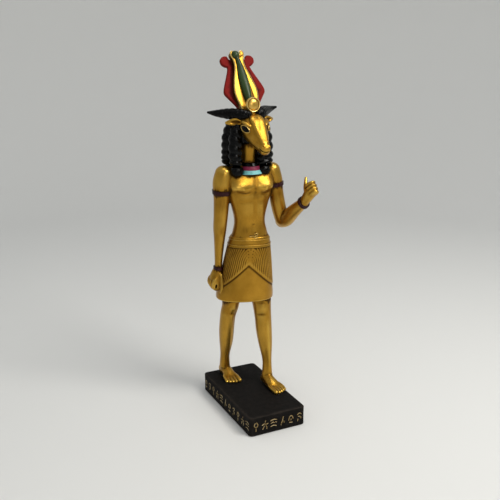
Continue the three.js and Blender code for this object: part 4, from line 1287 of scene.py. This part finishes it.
def store_hollows_wash_and_shade(piece, spots):
    """Stores on a piece's points how hollow it is there, and the wash and painted shade that the spots add."""
    mesh = piece.data
    points = points_of(mesh)
    wash_and_shade = np.zeros(len(points))
    for centre, radii, strength in spots:
        wash_and_shade += strength * np.exp(-np.sum(((points - centre) / np.array(radii)) ** 2, axis=1))
    store(mesh, "hollow", np.clip(hollows(mesh, HOLLOW_ROUNDS) / FULL_HOLLOW, -1, 1))
    store(mesh, "wash_and_shade", np.clip(wash_and_shade, 0, 1))


def settled(piece, place):
    """Brings a piece from its millimetres to metres at its place, with creases sharp and the rest smooth."""
    mesh = piece.data
    mesh.transform(Matrix.Scale(MM, 4) @ Matrix.Translation(place))
    mesh.shade_smooth()
    mesh.set_sharp_from_angle(angle=math.radians(42))
    used = np.empty(len(mesh.polygons), int)
    mesh.polygons.foreach_get("material_index", used)
    kept = sorted(set(used.tolist()))
    names = [FINISH_ORDER[k] for k in kept]
    mesh.materials.clear()
    for name in names:
        mesh.materials.append(FINISHES[name])
    mesh.polygons.foreach_set("material_index", [kept.index(k) for k in used.tolist()])
    mesh.update()
    print(piece.name, "finishes:", ", ".join(names))


store_hollows_wash_and_shade(figure, WASH_AND_SHADE_SPOTS)
settled(figure, STAND)
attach(figure, "root")
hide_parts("figure")

# %% [markdown]
# ## The plinth
# A block with rounded upright corners and soft edges, painted flat black. The signs on its front and long
# sides are shallow engraved strokes with brass-coloured paint in them. They are plain strokes in rows, at
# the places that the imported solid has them, and they spell nothing.

# %% The block
PLINTH_SIZE = PLINTH_HIGH - PLINTH_LOW
CORNER_RADIUS = 3.2
EDGE_ROUNDING = 1.0
FINISHES["stone_black"] = brushed_paint(
    "flat_black_paint", "#151210", "#090807", 0.8, specular=0.12, tooth=0.4, grain=1400.0, edge="#2E2823"
)
FINISHES["sign_brass"] = brushed_paint("brass_paint_in_grooves", "#E4D2A8", "#A8905C", 0.6, tooth=0.3)
FINISH_ORDER = list(FINISHES)


def rounded_rectangle(width, length, radius, arc):
    corners = []
    for quarter, (sx, sy) in enumerate([(1, 1), (-1, 1), (-1, -1), (1, -1)]):
        centre = np.array([sx * (width / 2 - radius), sy * (length / 2 - radius)])
        a = np.radians(np.linspace(0, 90, arc) + 90 * quarter)
        corners.append(centre + radius * np.column_stack([np.cos(a), np.sin(a)]))
    return np.concatenate(corners)


outline = rounded_rectangle(PLINTH_SIZE.x, PLINTH_SIZE.y, CORNER_RADIUS, 10)
lying = Matrix.Translation((0, 0, PLINTH_SIZE.z / 2)) @ Matrix.Rotation(math.radians(-90), 4, "X")
plinth = part("painted_plinth", moved(plate(outline, PLINTH_SIZE.z, EDGE_ROUNDING, 6), lying), "stone_black")

# %% Wear on the block
# The cast block isn't quite true: its sides and edges waver by a few tenths of a millimetre over 4 to 12 mm.
# Its top and underside stay flat, because the soles and the shelf meet them.
WEAR = [(0.16, 12.0), (0.07, 4.0)]  # depth and length of the waves in mm
PLINTH_VOXEL = 0.62
applied(plinth, ("REMESH", {"mode": "VOXEL", "voxel_size": PLINTH_VOXEL, "adaptivity": 0.0}))
paint(plinth, "stone_black")
skin_points, skin_normals = points_of(plinth.data), normals_of(plinth.data)
upright = 1 - np.abs(skin_normals[:, 2])
waves = np.zeros(len(skin_points))
for depth, length in WEAR:
    waves += depth * np.array([1 + noise.noise(Vector(point / length)) for point in skin_points])
plinth.data.vertices.foreach_set("co", (skin_points - skin_normals * (waves * upright)[:, None]).ravel())
plinth.data.update()
print("plinth faces before the signs:", len(plinth.data.polygons))

# %% The rows of signs
SIGN_HEIGHT = 8.0
SIGN_DEPTH = 0.6
STROKE_WIDTH = 0.66
SIGN_MARGIN = 5.4
SIGNS_FRONT = 6
SIGNS_SIDE = 11
# Each sign's strokes, each a row of points as shares of the height, across and up.
SIGNS = [
    [
        [(-0.02, -0.45), (-0.02, -0.18)],
        [(-0.06, -0.06), (-0.2, 0.14), (-0.1, 0.38)],
        [(0.05, -0.04), (0.18, 0.16), (0.04, 0.42)],
    ],
    [
        [(-0.3, 0.02), (-0.08, 0.14), (0.12, 0.06), (0.32, 0.12)],
        [(0.02, 0.3), (0.06, 0.44)],
        [(-0.08, -0.06), (-0.24, -0.4)],
        [(0.1, -0.1), (0.2, -0.24), (0.18, -0.4)],
    ],
    [
        [(-0.34, 0.3), (0.02, 0.38), (0.32, 0.28)],
        [(-0.3, 0.02), (-0.08, 0.1), (0.04, 0.02)],
        [(0.18, 0.08), (0.3, 0.02)],
        [(-0.3, -0.32), (0.0, -0.24), (0.3, -0.34)],
    ],
    [
        [(0.1, 0.42), (0.02, 0.08), (-0.1, -0.24)],
        [(-0.14, -0.36), (-0.13, -0.4)],
        [(0.16, -0.06), (0.2, -0.2)],
    ],
    [
        [(-0.24, -0.12), (-0.14, 0.24), (0.1, 0.3), (0.24, 0.0)],
        [(0.0, -0.02), (0.02, -0.14)],
        [(-0.16, -0.34), (0.16, -0.4)],
    ],
    [
        [(-0.22, 0.24), (0.02, 0.38), (0.22, 0.24)],
        [(-0.12, 0.06), (0.1, 0.0), (0.18, -0.2)],
        [(-0.14, -0.22), (-0.18, -0.42)],
    ],
]


def signs(count, first, azimuth, distance, length):
    """The cutting strokes of one row, on the side that faces an azimuth, starting with one of the signs."""
    pitch = (length - 2 * SIGN_MARGIN) / (count - 1)
    cuts = []
    for i in range(count):
        for stroke in SIGNS[(first + i) % len(SIGNS)]:
            row = []
            for across, up in stroke:
                x = (i - (count - 1) / 2) * pitch + across * SIGN_HEIGHT
                row.append([x, -distance, PLINTH_SIZE.z / 2 + up * SIGN_HEIGHT, STROKE_WIDTH / 2, SIGN_DEPTH])
            cut = form(row, sides=10, steps=4, across=np.array([0.8, 0, 0.6]), domes=(0.3, 0.3))
            cuts.append(moved(cut, Matrix.Rotation(math.radians(azimuth), 4, "Z")))
    return cuts


rows = [
    (SIGNS_FRONT, 0, 0, PLINTH_SIZE.y / 2 - 0.15, PLINTH_SIZE.x),
    (SIGNS_SIDE, 2, 90, PLINTH_SIZE.x / 2 - 0.15, PLINTH_SIZE.y),
    (SIGNS_SIDE, 4, -90, PLINTH_SIZE.x / 2 - 0.15, PLINTH_SIZE.y),
]
strokes = [cut for row in rows for cut in signs(*row)]
boolean(plinth, joined("strokes", strokes, "sign_brass"), "DIFFERENCE")
store_hollows_wash_and_shade(plinth, [])
settled(plinth, Vector((0, 0, 0)))
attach(plinth, "root")
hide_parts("plinth")
print("plinth strokes:", len(strokes), "faces:", len(plinth.data.polygons))

# %% [markdown]
# ## The studio
# The photograph was taken on a pale sweep under soft light from above. The floor here is a round sweep, a
# disc that curves up into a wall, so it looks the same from every side. A soft key light hangs high in front,
# a weaker one straight above and a third far in front, and the pale surroundings do the rest, which is what a
# satin metal needs, because it shows what stands around it.

# %% Sweep and surroundings
SWEEP_SIDES = 96
SWEEP = [(0.6, 0), (0.75, 0)]
SWEEP += [(0.75 + 0.5 * math.sin(a), 0.5 - 0.5 * math.cos(a)) for a in np.radians(np.linspace(5, 90, 18))]
SWEEP.append((1.25, 1.3))
around = np.linspace(0, 2 * math.pi, SWEEP_SIDES, endpoint=False)
spokes = np.column_stack([np.cos(around), np.sin(around)])
sweep_rings = np.array([np.column_stack([spokes * r, np.full(SWEEP_SIDES, h)]) for r, h in SWEEP])
ring_at = np.arange(len(SWEEP) * SWEEP_SIDES).reshape(-1, SWEEP_SIDES)
ring_next = np.roll(ring_at, -1, axis=1)
sweep_quads = np.stack([ring_at[:-1], ring_at[1:], ring_next[1:], ring_next[:-1]], axis=-1)
sweep_faces = [*sweep_quads.reshape(-1, 4).tolist(), list(range(SWEEP_SIDES))]
sweep_mesh = bpy.data.meshes.new("sweep")
sweep_mesh.from_pydata(sweep_rings.reshape(-1, 3).tolist(), [], sweep_faces)
sweep_mesh.shade_smooth()
sweep = bpy.data.objects.new("sweep", sweep_mesh)
bpy.context.scene.collection.objects.link(sweep)
paper, paper_tree, paper_shader = new_finish("seamless_paper")
set_inputs(paper_tree, paper_shader, {"Base Color": linear("#DEDEDC"), "Roughness": 0.9})
sweep_mesh.materials.append(paper)
world = bpy.data.worlds.new("studio")
bpy.context.scene.world = world
world.use_nodes = True
background = world.node_tree.nodes["Background"]
set_inputs(world.node_tree, background, {"Color": linear("#DCE0E4"), "Strength": 0.68})
print("sweep faces:", len(sweep_faces))


# %% Lights
def soft_light(name, location, size, power, colour="#FFFFFF"):
    """A square area light that looks at the figure's middle."""
    light = bpy.data.lights.new(name, "AREA")
    light.size = size
    light.energy = power
    light.color = linear(colour)[:3]
    lamp = bpy.data.objects.new(name, light)
    lamp.location = location
    aim = Vector((0, 0, 0.15)) - Vector(location)
    lamp.rotation_euler = aim.to_track_quat("-Z", "Y").to_euler()
    bpy.context.scene.collection.objects.link(lamp)


soft_light("key", (0.31, -0.45, 0.77), 0.36, 4.6, "#FFFCF6")
soft_light("overhead", (0.05, -0.06, 1.0), 0.30, 1.3, "#FFFCF6")
soft_light("front", (-0.13, -0.95, 0.52), 0.34, 1.2, "#FFFCF6")
print("lights: a key high in front, one overhead and one far in front")

# %% [markdown]
# ## The camera
# The camera's place was found from the plinth's corners in the photograph: it stands in front, to the
# figure's right, a little above it, with a lens of 50 mm on a 36 mm sensor.

# %% Camera
CAMERA_PLACE = (-0.230, -0.468, 0.274)
CAMERA_AZIMUTH = -26.0
CAMERA_ELEVATION = 15.2
CAMERA_LENS = 50.4
camera_data = bpy.data.cameras.new("camera")
camera_data.lens = CAMERA_LENS
camera_data.sensor_width = 36.0
camera = bpy.data.objects.new("camera", camera_data)
camera.location = CAMERA_PLACE
camera.rotation_euler = (math.radians(90 - CAMERA_ELEVATION), 0, math.radians(CAMERA_AZIMUTH))
bpy.context.scene.collection.objects.link(camera)
bpy.context.scene.camera = camera

# %% [markdown]
# The plain Standard view keeps the paints as saturated as they are, where the default one would pale them.

# %% View
bpy.context.scene.view_settings.view_transform = "Standard"
print("view:", bpy.context.scene.view_settings.view_transform)
